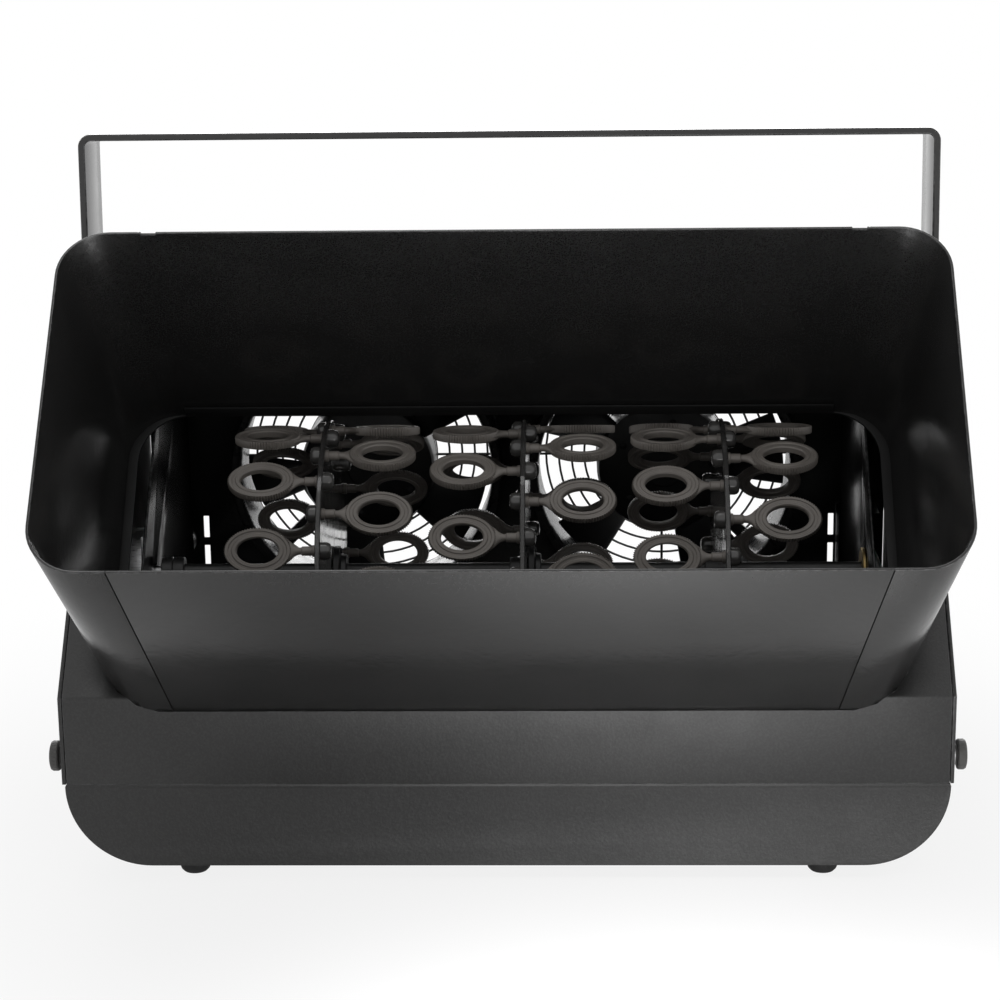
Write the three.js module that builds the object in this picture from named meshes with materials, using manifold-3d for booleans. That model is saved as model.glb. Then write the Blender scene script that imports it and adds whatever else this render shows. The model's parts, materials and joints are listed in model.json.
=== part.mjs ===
// A bubble machine in folded sheet steel: a base pan with a fluid tank, a sloping cover with a
// flared hood, three wand wheels on one shaft, two axial fans behind them and a tilting yoke.
// Lengths are in millimetres. X runs to the right, Y to the back and Z up.
// The machine is drawn from its front face (Y = 0) and the floor (Z = 0), then moved so that
// the origin is at the bottom centre of its box.

import * as THREE from 'three';
import { mergeVertices } from 'three/addons/utils/BufferGeometryUtils.js';
import Module from 'manifold-3d';

const wasm = await Module();
wasm.setup();

// Clearances that pieces keep to each other
const seat = 0.3;          // between a piece and what it rests on or in
const runningGap = 0.3;    // between a turning piece and its bearing
const overrun = 4;         // how far a cutting body runs past what it cuts
const farOverrun = 10;

// Housing
const bodyDepth = 330;
const sheet = 1.5;
const sidePlate = 2;
const bendRadius = 3;
const footHeight = 10;
const panHeight = 46.5;
const panInset = 1.5;      // the pan's side stands back from the side panel's outer face
const panCornerRadius = 46;
const seamGap = 1;
const frontRise = 49.5;    // front face of the cover, from the seam to the bend
const slopeDegrees = 45;
const slopeRest = 32.9;    // what is left of the slope above and below the throat

// Rubber feet
const footRadius = 9;
const footTread = 6;
const footInsetX = 66.5;   // from a side panel to a foot's middle
const footInsetY = 18;

// Hood, measured on the inside. The throat lies on the slope, the mouth hoodDepth above it.
const hoodSheet = 1.5;
const hoodDepth = 130;
const hoodRoot = 8;        // how far the hood reaches below the slope
const throatMargin = 23;    // from the throat to a side panel
const throatLength = 186.3;
const throatDrop = 2.9;    // the throat starts this far below the bend
const throatCorner = 29;
const mouthWidth = 475.4;
const mouthLength = 206.1;
const mouthRise = 8.5;     // the mouth starts this far above the bend
const mouthCorner = 26;
const throatCheek = 37.5;  // from the throat's side to the seam beside each cheek
const mouthCheek = 41.2;
const seamWidth = 0.3;

// Throat frame, an angle ring that the hood's root stands on
const frameFlangeSide = 6;
const frameFlangeEnd = 0.8;
const frameSheet = 1.6;
const frameLowerBar = 7;

// Inner walls beside the wheels
const wallInset = 13.5;    // from the throat's side to a wall's inner face
const wallFront = 3;
const wallBack = 258;
const wallFloorGap = 1.8;  // keeps the walls off the pan's round corners
const wallDrop = 10.8;     // below the slope

// Fluid tank
const tankSideGap = 12;
const tankFront = 6;
const tankBack = 262;
const tankHeight = 68;

// Wand wheels
const shaftY = 110;
const shaftZ = 146.5;
const shaftRadius = 4;
const discRadius = 86.5;
const discThickness = 3;
const wheelOffset = 9.5;     // the middle disc stands right of the machine's middle
const wheelGap = 8.2;     // between the wands of two wheels
const wandWallGap = 31.05; // from the outermost wands to a wall
const wheelDegrees = [-9, -14, -6];
const wandsPerSide = 12;
const wandCircle = 80.5;     // radius of the circle of ring centres
const wandReach = 33;      // from the disc to a ring's centre
const wandLength = 37.5;
const wandWidth = 26;
const wandHoleLength = 24;
const wandHoleWidth = 14;
const wandThickness = 4.5;
const wandStemRadius = 2.2;
const wandSteps = 8;
const carrierBand = 6;
const carrierThickness = 1.2;
const hubRadius = 14;
const hubLength = 18;

// Shaft bush
const bushRadius = 8;
const bushFlangeRadius = 12;
const bushFlange = 2;

// Gear motor and its bracket
const motorRadius = 25;
const motorLength = 21;
const motorShaftRadius = 3;
const motorShaftLength = 14;
const couplerRadius = 8;
const couplerLength = 13;
const bracketWidth = 56;
const bracketPlate = 1.5;
const bracketHole = 5;

// Fans
const fanGap = 18;         // between the two fans
const fanZ = 160;
const fanRadius = 86;
const fanDepth = 51;
const fanRim = 6;
const fanHubRadius = 43;
const fanHubLength = 30;
const fanTipGap = 3;
const fanBladeWidth = 42;
const fanBladeThickness = 2.2;
const fanBladePitch = 38;
const fanBlades = 5;
const fanBladeDegrees = [-44, -7];
const fanBasePlate = 5;
const fanBaseGap = 2;
const fanStrutWidth = 8;
const fanStrutRoot = 2;     // how far a strut runs into the ring
const fanStruts = 4;
const fanAxleRadius = 3;
const fanAxleLength = 5;
const fanHoleMargin = 1;

// Fan guards
const guardWire = 0.9;
const guardLap = 4;        // how far the guard laps over the bore
const guardRings = 3;
const guardInnerRadius = 50;
const guardSpokes = 4;

// Yoke, a bent flat bar, and its knobs
const yokeBarWidth = 50;
const yokeBarThickness = 4;
const yokeBend = 7.5;
const yokeGap = 3;         // between side panel and leg
const yokeHeight = 238.5;  // from the pivot to the top face
const yokeLean = 4.4;
const yokeHoleRadius = 5;
const yokeHoleSpacing = 178;
const pivotY = 186.7;
const pivotZ = 150;
const studRadius = 4;
const studHole = 4.5;
const weldNutRadius = 9;
const weldNutLength = 6;
const knobRadius = 18;
const knobLength = 14;
const washerRadius = 15;

// Thumbscrews that hold the cover to the pan
const thumbY = 12;
const thumbZ = 70;
const thumbRadius = 8.4;
const thumbLength = 6;
const thumbStud = 2.5;
const thumbHole = 2.9;
const thumbStudLength = 16;
const thumbWasherRadius = 6.5;
const thumbWasher = 1;
const tabWidth = 22;
const tabTop = 80;
const tabBottom = 40;

// Controls on the rear panel
const controlInset = 18.5; // from a side panel to the middle of its controls
const inletZ = 104;
const inletWidth = 28;
const inletHeight = 48;
const inletFlange = 3;
const inletBodyWidth = 26;
const inletBodyHeight = 44;
const inletBodyDepth = 26;
const inletWellWidth = 22;
const inletWellHeight = 16;
const inletWellDepth = 16;
const inletWellRise = 10;
const inletPinWidth = 2;
const inletPinHeight = 4;
const inletPinLength = 12;
const inletPinSpacing = 7;
const inletPinRise = 2;
const fuseWidth = 20;
const fuseHeight = 10;
const fuseDepth = 18;
const fuseDrop = 13;
const fuseFace = 1.5;
const switchZ = 168;
const switchWidth = 22;
const switchHeight = 30;
const switchFlange = 2;
const switchBodyWidth = 19;
const switchBodyHeight = 27;
const switchBodyDepth = 18;
const rockerWidth = 14;
const rockerHeight = 20;
const rockerDepth = 5;
const rockerStand = 2.5;
const rockerGap = 0.6;
const rockerDip = 4;
const rockerTilt = 8;
const rockerPivotDepth = 3.3;
const remoteZ = 104;
const remoteRadius = 12;
const remoteFlange = 2.5;
const remoteBodyRadius = 10;
const remoteBodyDepth = 22;
const remoteWellRadius = 7;
const remoteWellDepth = 14;

// Vent slots in the rear panel, two above each other at each side
const ventInset = 1.8;      // from a wall's inner face to the middle of a slot
const ventWidth = 3;
const ventHeight = 14;
const ventZ = 112;
const ventPitch = 20;

// Control board beside the right inner wall
const boardY = 120;
const boardZ = 104;
const boardLength = 120;
const boardHeight = 80;
const boardThickness = 1.6;
const standoffLength = 8;
const standoffRadius = 3;
const standoffInset = 8;
const relayLength = 34;
const relayHeight = 28;
const relayDepth = 16;
const coilLength = 40;
const coilHeight = 44;
const coilDepth = 20;

// Drain
const drainInset = 42;     // from the tank's left side
const drainZ = 22;
const drainRadius = 6;
const drainBore = 4;
const drainStickOut = 8;
const drainPlugRadius = 9;
const drainPlugLength = 8;
const drainPegRadius = 3.6;
const drainPegLength = 10;

// Numbers of straight steps in round shapes
const cornerSteps = 4;
const roundSteps = 24;
const smallSteps = 16;
const wireSides = 4;
const wireSteps = 16;
const nutSides = 6;

// Places that follow from the sizes above
const panTop = footHeight + panHeight;
const coverBottom = panTop + seamGap;
const bendZ = coverBottom + frontRise;
const slope = THREE.MathUtils.degToRad(slopeDegrees);
const bodyHeight = bendZ + (throatLength + slopeRest) * Math.sin(slope);
const slopeRun = (bodyHeight - bendZ) / Math.tan(slope);
const wandSpan = wandReach + wandLength / 2;
const wheelPitch = wandSpan * 2 + wheelGap;
const wallInner = wheelOffset + wheelPitch + wandSpan + wandWallGap;
const throatWidth = (wallInner + wallInset) * 2;
const bodyWidth = throatWidth + throatMargin * 2;
const sideInner = bodyWidth / 2;
const sideOuter = sideInner + sidePlate;
const panSide = sideOuter - panInset;
const panFloor = footHeight + sheet;
const throatSeam = throatWidth / 2 - throatCheek;
const mouthSeam = mouthWidth / 2 - mouthCheek;
const fanSpacing = fanRadius * 2 + fanGap;
const fanBore = fanRadius - fanRim;
const fanBladeTip = fanBore - fanTipGap;
const fanHoleRadius = fanBore + fanHoleMargin;
const guardRadius = fanBore + guardLap;
const controlX = sideInner - controlInset;
const remoteX = -controlX;
const ventX = wallInner + ventInset;
const drainX = drainInset + tankSideGap - wallInner;
const yokeInner = sideOuter + yokeGap;
const yokeOuter = yokeInner + yokeBarThickness;
const drainEnd = bodyDepth + drainStickOut + seat + drainPlugLength;

// Solids

function solid(geometry) {
  const bare = geometry.clone();
  bare.deleteAttribute('normal');
  bare.deleteAttribute('uv');
  const merged = mergeVertices(bare);
  const vertProperties = new Float32Array(merged.attributes.position.array);
  const triVerts = new Uint32Array(merged.index.array);
  return new wasm.Manifold(new wasm.Mesh({ numProp: 3, vertProperties, triVerts }));
}

function join(first, ...others) {
  return others.reduce((whole, piece) => whole.add(piece), first);
}

function cut(first, ...others) {
  return others.reduce((whole, piece) => whole.subtract(piece), first);
}

function geometryOf(body) {
  const mesh = body.getMesh();
  const geometry = new THREE.BufferGeometry();
  geometry.setAttribute('position', new THREE.BufferAttribute(new Float32Array(mesh.vertProperties), 3));
  geometry.setIndex(new THREE.BufferAttribute(new Uint32Array(mesh.triVerts), 1));
  geometry.computeVertexNormals();
  return geometry;
}

function block(x0, x1, y0, y1, z0, z1) {
  const geometry = new THREE.BoxGeometry(x1 - x0, y1 - y0, z1 - z0);
  return solid(geometry.translate((x0 + x1) / 2, (y0 + y1) / 2, (z0 + z1) / 2));
}

// A round bar along an axis, from one place to another on it. The two last values are its
// centre on the other two axes, in X, Y, Z order.
function rod(axis, radius, from, to, a, b, steps = roundSteps) {
  const geometry = new THREE.CylinderGeometry(radius, radius, to - from, steps);
  const middle = (from + to) / 2;
  if (axis === 'x') geometry.rotateZ(-Math.PI / 2).translate(middle, a, b);
  if (axis === 'y') geometry.translate(a, middle, b);
  if (axis === 'z') geometry.rotateX(Math.PI / 2).translate(a, b, middle);
  return solid(geometry);
}

// Outlines drawn in (Y, Z) and run along X, or drawn in (X, Z) and run along Y
function runAlongX(shape, x0, x1) {
  const run = { depth: x1 - x0, bevelEnabled: false, curveSegments: cornerSteps };
  const geometry = new THREE.ExtrudeGeometry(shape, run);
  const turn = new THREE.Matrix4().set(0, 0, 1, x0, 1, 0, 0, 0, 0, 1, 0, 0, 0, 0, 0, 1);
  return solid(geometry.applyMatrix4(turn));
}

function runAlongY(shape, y0, y1) {
  const run = { depth: y1 - y0, bevelEnabled: false, curveSegments: cornerSteps };
  const geometry = new THREE.ExtrudeGeometry(shape, run);
  const turn = new THREE.Matrix4().set(1, 0, 0, 0, 0, 0, -1, y1, 0, 1, 0, 0, 0, 0, 0, 1);
  return solid(geometry.applyMatrix4(turn));
}

function outline(points) {
  return new THREE.Shape(points.map(([a, b]) => new THREE.Vector2(a, b)));
}

// Points of a line of bends with round corners, moved sideways by an offset to its right
function bentLine(points, radius, offset) {
  const places = points.map(([a, b]) => new THREE.Vector2(a, b));
  const result = [];
  places.forEach((place, index) => {
    const before = places[index - 1];
    const after = places[index + 1];
    const inward = before ? place.clone().sub(before).normalize() : after.clone().sub(place).normalize();
    const onward = after ? after.clone().sub(place).normalize() : inward.clone();
    const side = (way) => new THREE.Vector2(way.y, -way.x);
    if (!before || !after) {
      result.push(place.clone().addScaledVector(side(inward), offset));
      return;
    }
    const bend = Math.atan2(inward.cross(onward), inward.dot(onward));
    const reach = radius * Math.tan(Math.abs(bend) / 2);
    const toward = bend < 0 ? 1 : -1;
    const centre = place.clone().addScaledVector(inward, -reach);
    centre.addScaledVector(side(inward), toward * radius);
    for (let step = 0; step <= cornerSteps; step += 1) {
      const way = side(inward).rotateAround(new THREE.Vector2(), (bend * step) / cornerSteps);
      result.push(centre.clone().addScaledVector(way, offset - toward * radius));
    }
  });
  return result;
}

// A bent sheet whose outer face follows the points, with its thickness to their right
function bentSheet(points, radius, thickness) {
  const outer = bentLine(points, radius, 0);
  const inner = bentLine(points, radius, thickness);
  return new THREE.Shape([...outer, ...inner.reverse()]);
}

// Rings of points and the skins between them, for the tapering hood

function roundedRing(halfWidth, low, high, radius) {
  const centres = [
    [halfWidth - radius, low + radius, -Math.PI / 2],
    [halfWidth - radius, high - radius, 0],
    [radius - halfWidth, high - radius, Math.PI / 2],
    [radius - halfWidth, low + radius, Math.PI],
  ];
  const ring = [];
  for (const [x, y, start] of centres) {
    for (let step = 0; step <= cornerSteps; step += 1) {
      const angle = start + (step * Math.PI) / 2 / cornerSteps;
      ring.push([x + radius * Math.cos(angle), y + radius * Math.sin(angle)]);
    }
  }
  return ring;
}

function rectangleRing(halfWidth, low, high) {
  return [[halfWidth, low], [halfWidth, high], [-halfWidth, high], [-halfWidth, low]];
}

// A closed block between two rings with as many points each, at two heights
function loft(lowRing, lowHeight, highRing, highHeight) {
  const count = lowRing.length;
  const positions = [];
  const faces = [];
  lowRing.forEach(([x, y]) => positions.push(x, y, lowHeight));
  highRing.forEach(([x, y]) => positions.push(x, y, highHeight));
  for (let index = 0; index < count; index += 1) {
    const next = (index + 1) % count;
    faces.push(index, next, count + next, index, count + next, count + index);
  }
  const cap = THREE.ShapeUtils.triangulateShape(lowRing.map(([x, y]) => new THREE.Vector2(x, y)), []);
  for (const [a, b, c] of cap) {
    faces.push(c, b, a, count + a, count + b, count + c);
  }
  const vertProperties = new Float32Array(positions);
  const triVerts = new Uint32Array(faces);
  return new wasm.Manifold(new wasm.Mesh({ numProp: 3, vertProperties, triVerts }));
}

// The hood's outline at a height above the slope, grown outwards by an offset
function hoodRing(height, offset) {
  const share = height / hoodDepth;
  const mix = (low, high) => low + (high - low) * share;
  const halfWidth = mix(throatWidth, mouthWidth) / 2 + offset;
  const low = mix(-throatDrop, mouthRise) - offset;
  const high = mix(throatLength - throatDrop, mouthRise + mouthLength) + offset;
  return roundedRing(halfWidth, low, high, mix(throatCorner, mouthCorner) + offset);
}

function hoodBlock(from, to, offset) {
  return loft(hoodRing(from, offset), from, hoodRing(to, offset), to);
}

// Between the two seams, over part of the hood
function seamBlock(low, high, gap) {
  const from = -hoodRoot - overrun;
  const to = hoodDepth + overrun;
  const half = (height) => throatSeam + ((mouthSeam - throatSeam) * height) / hoodDepth + gap;
  return loft(rectangleRing(half(from), low, high), from, rectangleRing(half(to), low, high), to);
}

// Frames that the pieces are placed in

const machine = new THREE.Group();

const slopeFrame = new THREE.Group();
slopeFrame.position.z = bendZ;
slopeFrame.rotation.x = slope;
slopeFrame.updateMatrix();
machine.add(slopeFrame);

const onSlope = (body) => {
  const geometry = geometryOf(body).rotateX(slope).translate(0, 0, bendZ);
  return solid(geometry);
};

const yokeFrame = new THREE.Group();
yokeFrame.position.set(0, pivotY, pivotZ);
yokeFrame.rotation.x = -THREE.MathUtils.degToRad(yokeLean);
machine.add(yokeFrame);

// Materials by their looks
const looks = {
  powderBlack: { color: 0x17171a, roughness: 0.55, metalness: 0.3 },
  satinBlack: { color: 0x1d1d20, roughness: 0.4, metalness: 0.4 },
  steel: { color: 0x9a9c9e, roughness: 0.35, metalness: 0.9 },
  castBlack: { color: 0x202022, roughness: 0.6, metalness: 0.5 },
  rubber: { color: 0x0f0f10, roughness: 0.85, metalness: 0 },
  blackPlastic: { color: 0x141416, roughness: 0.45, metalness: 0 },
  greyPlastic: { color: 0x6d6862, roughness: 0.6, metalness: 0 },
  brass: { color: 0xa98a4a, roughness: 0.35, metalness: 0.9 },
  board: { color: 0x1d4a2c, roughness: 0.5, metalness: 0 },
};

function place(name, body, look, parent = machine) {
  const mesh = new THREE.Mesh(geometryOf(body), new THREE.MeshStandardMaterial(looks[look]));
  mesh.name = name;
  parent.add(mesh);
  return mesh;
}

const sides = [['left', -1], ['right', 1]];

// Base pan: an open tub with round lower corners, and a tab at each side for a thumbscrew

function panOutline(halfWidth, low, high, radius) {
  const shape = new THREE.Shape();
  shape.moveTo(-halfWidth, high);
  shape.lineTo(-halfWidth, low + radius);
  shape.absarc(radius - halfWidth, low + radius, radius, Math.PI, 1.5 * Math.PI, false);
  shape.lineTo(halfWidth - radius, low);
  shape.absarc(halfWidth - radius, low + radius, radius, 1.5 * Math.PI, 2 * Math.PI, false);
  shape.lineTo(halfWidth, high);
  return shape;
}

function basePan() {
  const outer = runAlongY(panOutline(panSide, footHeight, panTop, panCornerRadius), 0, bodyDepth);
  const innerShape = panOutline(panSide - sheet, panFloor, panTop + overrun, panCornerRadius - sheet);
  const inner = runAlongY(innerShape, sheet, bodyDepth - sheet);
  let pan = cut(outer, inner);
  for (const [, side] of sides) {
    const face = side * (sideInner - seat);
    const back = side * (sideInner - seat - sheet);
    const tab = block(Math.min(face, back), Math.max(face, back),
      thumbY - tabWidth / 2 + sheet, thumbY + tabWidth / 2, tabBottom, tabTop);
    const hole = rod('x', thumbHole, -overrun, overrun, thumbY, thumbZ, smallSteps);
    pan = join(pan, tab).subtract(hole.translate(face, 0, 0));
  }
  const drainHole = rod('y', drainRadius + seat, bodyDepth - sheet - overrun, bodyDepth + overrun,
    drainX, drainZ, smallSteps);
  return cut(pan, drainHole);
}

place('base_pan', basePan(), 'powderBlack');

function rubberFoot() {
  const profile = [
    [0, 0], [footTread, 0], [footRadius, footHeight / 2], [footRadius, footHeight - seat],
    [0, footHeight - seat],
  ].map(([radius, height]) => new THREE.Vector2(radius, height));
  return solid(new THREE.LatheGeometry(profile, smallSteps).rotateX(Math.PI / 2));
}

for (const [sideName, side] of sides) {
  for (const [endName, y] of [['front', footInsetY], ['rear', bodyDepth - footInsetY]]) {
    const foot = place(`foot_${endName}_${sideName}`, rubberFoot(), 'rubber');
    foot.position.set(side * (sideInner - footInsetX), y, 0);
  }
}

// Cover: one bent sheet for front, slope and top, with the throat cut through it

function coverShell() {
  const path = [[0, coverBottom], [0, bendZ], [slopeRun, bodyHeight], [bodyDepth, bodyHeight]];
  const shell = runAlongX(bentSheet(path, bendRadius, sheet), -sideInner + seat, sideInner - seat);
  const opening = onSlope(hoodBlock(-hoodRoot - overrun, hoodRoot, hoodSheet + seat));
  return cut(shell, opening);
}

place('cover_shell', coverShell(), 'powderBlack');

function sidePanel(side) {
  const shape = outline([
    [0, coverBottom], [bodyDepth, coverBottom], [bodyDepth, bodyHeight],
    [slopeRun, bodyHeight], [0, bendZ],
  ]);
  const inner = side * sideInner;
  const outer = side * sideOuter;
  const plate = runAlongX(shape, Math.min(inner, outer), Math.max(inner, outer));
  const nutEnd = side * (sideInner - weldNutLength);
  const nut = rod('x', weldNutRadius, Math.min(nutEnd, outer), Math.max(nutEnd, outer),
    pivotY, pivotZ, nutSides);
  const stud = rod('x', studHole, -farOverrun, farOverrun, pivotY, pivotZ, smallSteps);
  const thumb = rod('x', thumbHole, -overrun, overrun, thumbY, thumbZ, smallSteps);
  return cut(join(plate, nut), stud.translate(inner, 0, 0), thumb.translate(inner, 0, 0));
}

for (const [name, side] of sides) {
  place(`side_panel_${name}`, sidePanel(side), 'powderBlack');
}

// Rear panel with the two fan holes and the cut-outs for the controls

function rearPanel() {
  const y0 = bodyDepth - sheet;
  const front = y0 - overrun;
  const back = bodyDepth + overrun;
  const half = sideInner - seat;
  const panel = block(-half, half, y0, bodyDepth, coverBottom, bodyHeight - sheet - seat);
  const cutOut = (x, z, width, height) => block(
    x - width / 2 - seat, x + width / 2 + seat, front, back, z - height / 2 - seat, z + height / 2 + seat,
  );
  const vents = [];
  for (const [, side] of sides) {
    vents.push(cutOut(side * ventX, ventZ, ventWidth, ventHeight));
    vents.push(cutOut(side * ventX, ventZ - ventPitch, ventWidth, ventHeight));
  }
  return cut(
    panel,
    rod('y', fanHoleRadius, front, back, -fanSpacing / 2, fanZ),
    rod('y', fanHoleRadius, front, back, fanSpacing / 2, fanZ),
    cutOut(controlX, inletZ, inletBodyWidth, inletBodyHeight),
    cutOut(controlX, switchZ, switchBodyWidth, switchBodyHeight),
    rod('y', remoteBodyRadius + seat, front, back, remoteX, remoteZ, smallSteps),
    ...vents,
  );
}

place('rear_panel', rearPanel(), 'powderBlack');

// Hood: one tapering skin, divided at its four seams

function hoodSkin() {
  const outer = hoodBlock(-hoodRoot, hoodDepth, hoodSheet);
  const inner = hoodBlock(-hoodRoot - overrun, hoodDepth + overrun, 0);
  return cut(outer, inner);
}

const hoodLow = -mouthLength;
const hoodHigh = mouthLength + mouthLength;
const hoodMiddle = mouthRise + mouthLength / 2;
const skin = hoodSkin();
const cheeks = cut(skin, seamBlock(hoodLow, hoodHigh, seamWidth / 2));
const lowerPanel = skin.intersect(seamBlock(hoodLow, hoodMiddle, -seamWidth / 2));
const upperPanel = skin.intersect(seamBlock(hoodMiddle, hoodHigh, -seamWidth / 2));
place('hood_lower_panel', lowerPanel, 'satinBlack', slopeFrame);
place('hood_upper_panel', upperPanel, 'powderBlack', slopeFrame);
const cheekSide = block(0, mouthWidth, hoodLow, hoodHigh, -hoodDepth, hoodDepth + hoodDepth);
place('hood_left_cheek', cut(cheeks, cheekSide), 'satinBlack', slopeFrame);
place('hood_right_cheek', cheeks.intersect(cheekSide), 'satinBlack', slopeFrame);

// Throat frame: an angle ring round the hood's root, with a flange under it

function throatFrame() {
  const top = -sheet - seat;
  const flangeTop = -hoodRoot - seat;
  const bottom = flangeTop - frameSheet;
  const outerWall = hoodBlock(bottom, top, hoodSheet + seat + frameSheet);
  const room = hoodBlock(flangeTop, top + overrun, hoodSheet + seat);
  const holeHalf = throatWidth / 2 - frameFlangeSide;
  const holeHigh = throatLength - throatDrop - frameFlangeEnd;
  const hole = loft(
    roundedRing(holeHalf, frameLowerBar - throatDrop, holeHigh, throatCorner), bottom - overrun,
    roundedRing(holeHalf, frameLowerBar - throatDrop, holeHigh, throatCorner), top + overrun,
  );
  const inside = block(-bodyWidth, bodyWidth, sheet + seat, bodyDepth, 0, bodyHeight);
  return onSlope(cut(outerWall, room, hole)).intersect(inside);
}

place('throat_frame', throatFrame(), 'powderBlack');

// Inner walls beside the wheels, the left one with a hole for the motor's shaft, the right one
// for the bush

function innerWall(side) {
  const drop = wallDrop / Math.cos(slope);
  const top = bodyHeight - sheet - seat;
  const edge = (y) => bendZ + y * Math.tan(slope) - drop;
  const edgeEnd = (top - bendZ + drop) / Math.tan(slope);
  const low = panFloor + wallFloorGap;
  const shape = outline([
    [wallFront, low], [wallBack, low], [wallBack, top], [edgeEnd, top], [wallFront, edge(wallFront)],
  ]);
  const inner = side * wallInner;
  const outer = side * (wallInner + sheet);
  const wall = runAlongX(shape, Math.min(inner, outer), Math.max(inner, outer));
  const holeRadius = side < 0 ? bracketHole : bushRadius + seat;
  const hole = rod('x', holeRadius, -overrun, overrun, shaftY, shaftZ, smallSteps);
  return cut(wall, hole.translate(inner, 0, 0));
}

for (const [name, side] of sides) {
  place(`inner_wall_${name}`, innerWall(side), 'powderBlack');
}

// Fluid tank

function fluidTank() {
  const half = wallInner - tankSideGap;
  const low = panFloor + seat;
  const outer = block(-half, half, tankFront, tankBack, low, low + tankHeight);
  const inner = block(-half + sheet, half - sheet, tankFront + sheet, tankBack - sheet,
    low + sheet, low + tankHeight + overrun);
  const drain = rod('y', drainBore, tankBack - sheet - overrun, tankBack + overrun,
    drainX, drainZ, smallSteps);
  return cut(outer, inner, drain);
}

place('fluid_tank', fluidTank(), 'steel');

// Drain spigot and plug

function drainSpigot() {
  const from = tankBack + seat;
  const to = bodyDepth + drainStickOut;
  const tube = rod('y', drainRadius, from, to, drainX, drainZ, smallSteps);
  return cut(tube, rod('y', drainBore, from - overrun, to + overrun, drainX, drainZ, smallSteps));
}

function drainPlug() {
  const face = bodyDepth + drainStickOut + seat;
  const head = rod('y', drainPlugRadius, face, face + drainPlugLength, drainX, drainZ, smallSteps);
  const peg = rod('y', drainPegRadius, face - drainPegLength, face + seat, drainX, drainZ, smallSteps);
  return join(head, peg);
}

place('drain_spigot', drainSpigot(), 'brass');
place('drain_plug', drainPlug(), 'blackPlastic');

// Wheel shaft, bush, hubs, discs and wands

const bracketBack = -wallInner - sheet - seat - bracketPlate;
const motorInner = bracketBack - seat;
const motorOuter = motorInner - motorLength;
const motorShaftEnd = motorInner + motorShaftLength;
const couplerMiddle = motorShaftEnd + seat / 2;
const shaftLeft = motorShaftEnd + seat;
const shaftRight = wallInner + sheet + bushFlange + seat;

place('wheel_shaft', rod('x', shaftRadius, shaftLeft, shaftRight, shaftY, shaftZ, smallSteps), 'steel');

function bush() {
  const face = wallInner - seat;
  const outer = wallInner + sheet + bushFlange / 2;
  const flange = rod('x', bushFlangeRadius, face - bushFlange, face, shaftY, shaftZ, smallSteps);
  const sleeve = rod('x', bushRadius, face - bushFlange, outer, shaftY, shaftZ, smallSteps);
  const bore = rod('x', shaftRadius + runningGap, 0, bodyWidth, shaftY, shaftZ, smallSteps);
  return cut(join(flange, sleeve), bore);
}

place('shaft_bush', bush(), 'brass');

const wheelNames = ['left', 'middle', 'right'];
const discX = wheelNames.map((name, index) => wheelOffset + (index - 1) * wheelPitch);

function hub(x) {
  const half = hubLength / 2;
  const from = x + discThickness / 2 + seat;
  const body = rod('x', hubRadius, from, x + half, shaftY, shaftZ, smallSteps);
  const neck = rod('x', hubRadius / 2, x - half, x + half, shaftY, shaftZ, smallSteps);
  const bore = rod('x', shaftRadius + seat, x - hubLength, x + hubLength, shaftY, shaftZ, smallSteps);
  return cut(join(body, neck), bore);
}

function disc(x) {
  const half = discThickness / 2;
  const plate = rod('x', discRadius, x - half, x + half, shaftY, shaftZ, wandsPerSide * 2);
  const hole = rod('x', hubRadius / 2 + seat, x - hubLength, x + hubLength, shaftY, shaftZ, smallSteps);
  return cut(plate, hole);
}

// An oval ring on a stem, drawn at the origin with the wheel's axis along X and its rim upwards
function wand() {
  const oval = (length, width) => {
    const points = [];
    for (let step = 0; step < wandSteps; step += 1) {
      const angle = ((step + 0.5) * 2 * Math.PI) / wandSteps;
      points.push(new THREE.Vector2((length / 2) * Math.cos(angle), (width / 2) * Math.sin(angle)));
    }
    return points;
  };
  const shape = new THREE.Shape(oval(wandLength, wandWidth));
  shape.holes.push(new THREE.Path(oval(wandHoleLength, wandHoleWidth)));
  const geometry = new THREE.ExtrudeGeometry(shape, { depth: wandThickness, bevelEnabled: false });
  const ring = solid(geometry.translate(wandReach, 0, wandCircle - wandThickness / 2));
  const stemFrom = discThickness / 2 + seat + carrierThickness / 2;
  const stemTo = wandReach - wandHoleLength / 2 - (wandLength - wandHoleLength) / 4;
  return join(ring, rod('x', wandStemRadius, stemFrom, stemTo, 0, wandCircle, wireSides));
}

function wandSet(x, side, phase) {
  const from = discThickness / 2 + seat;
  const band = (radius, start, end) => rod('x', radius, start, end, 0, 0, wandsPerSide);
  const outerBand = band(wandCircle + carrierBand / 2, from, from + carrierThickness);
  const innerBand = band(wandCircle - carrierBand / 2, from - overrun, from + overrun);
  let set = cut(outerBand, innerBand);
  const step = 360 / wandsPerSide;
  for (let index = 0; index < wandsPerSide; index += 1) {
    set = join(set, wand().rotate([index * step, 0, 0]));
  }
  const turned = side > 0 ? set : set.rotate([0, 0, 180]);
  const start = side > 0 ? phase : phase + step / 2;
  return turned.rotate([start, 0, 0]).translate(x, shaftY, shaftZ);
}

wheelNames.forEach((name, index) => {
  const x = discX[index];
  place(`wheel_hub_${name}`, hub(x), 'blackPlastic');
  place(`wheel_disc_${name}`, disc(x), 'blackPlastic');
  for (const [sideName, side] of sides) {
    place(`wands_${name}_wheel_${sideName}`, wandSet(x, side, wheelDegrees[index]), 'greyPlastic');
  }
});

// Gear motor, bracket and coupler, left of the left inner wall

function driveMotor() {
  return rod('x', motorRadius, motorOuter, motorInner, shaftY, shaftZ);
}

function motorShaft() {
  return rod('x', motorShaftRadius, motorInner + seat, motorShaftEnd, shaftY, shaftZ, smallSteps);
}

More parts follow.
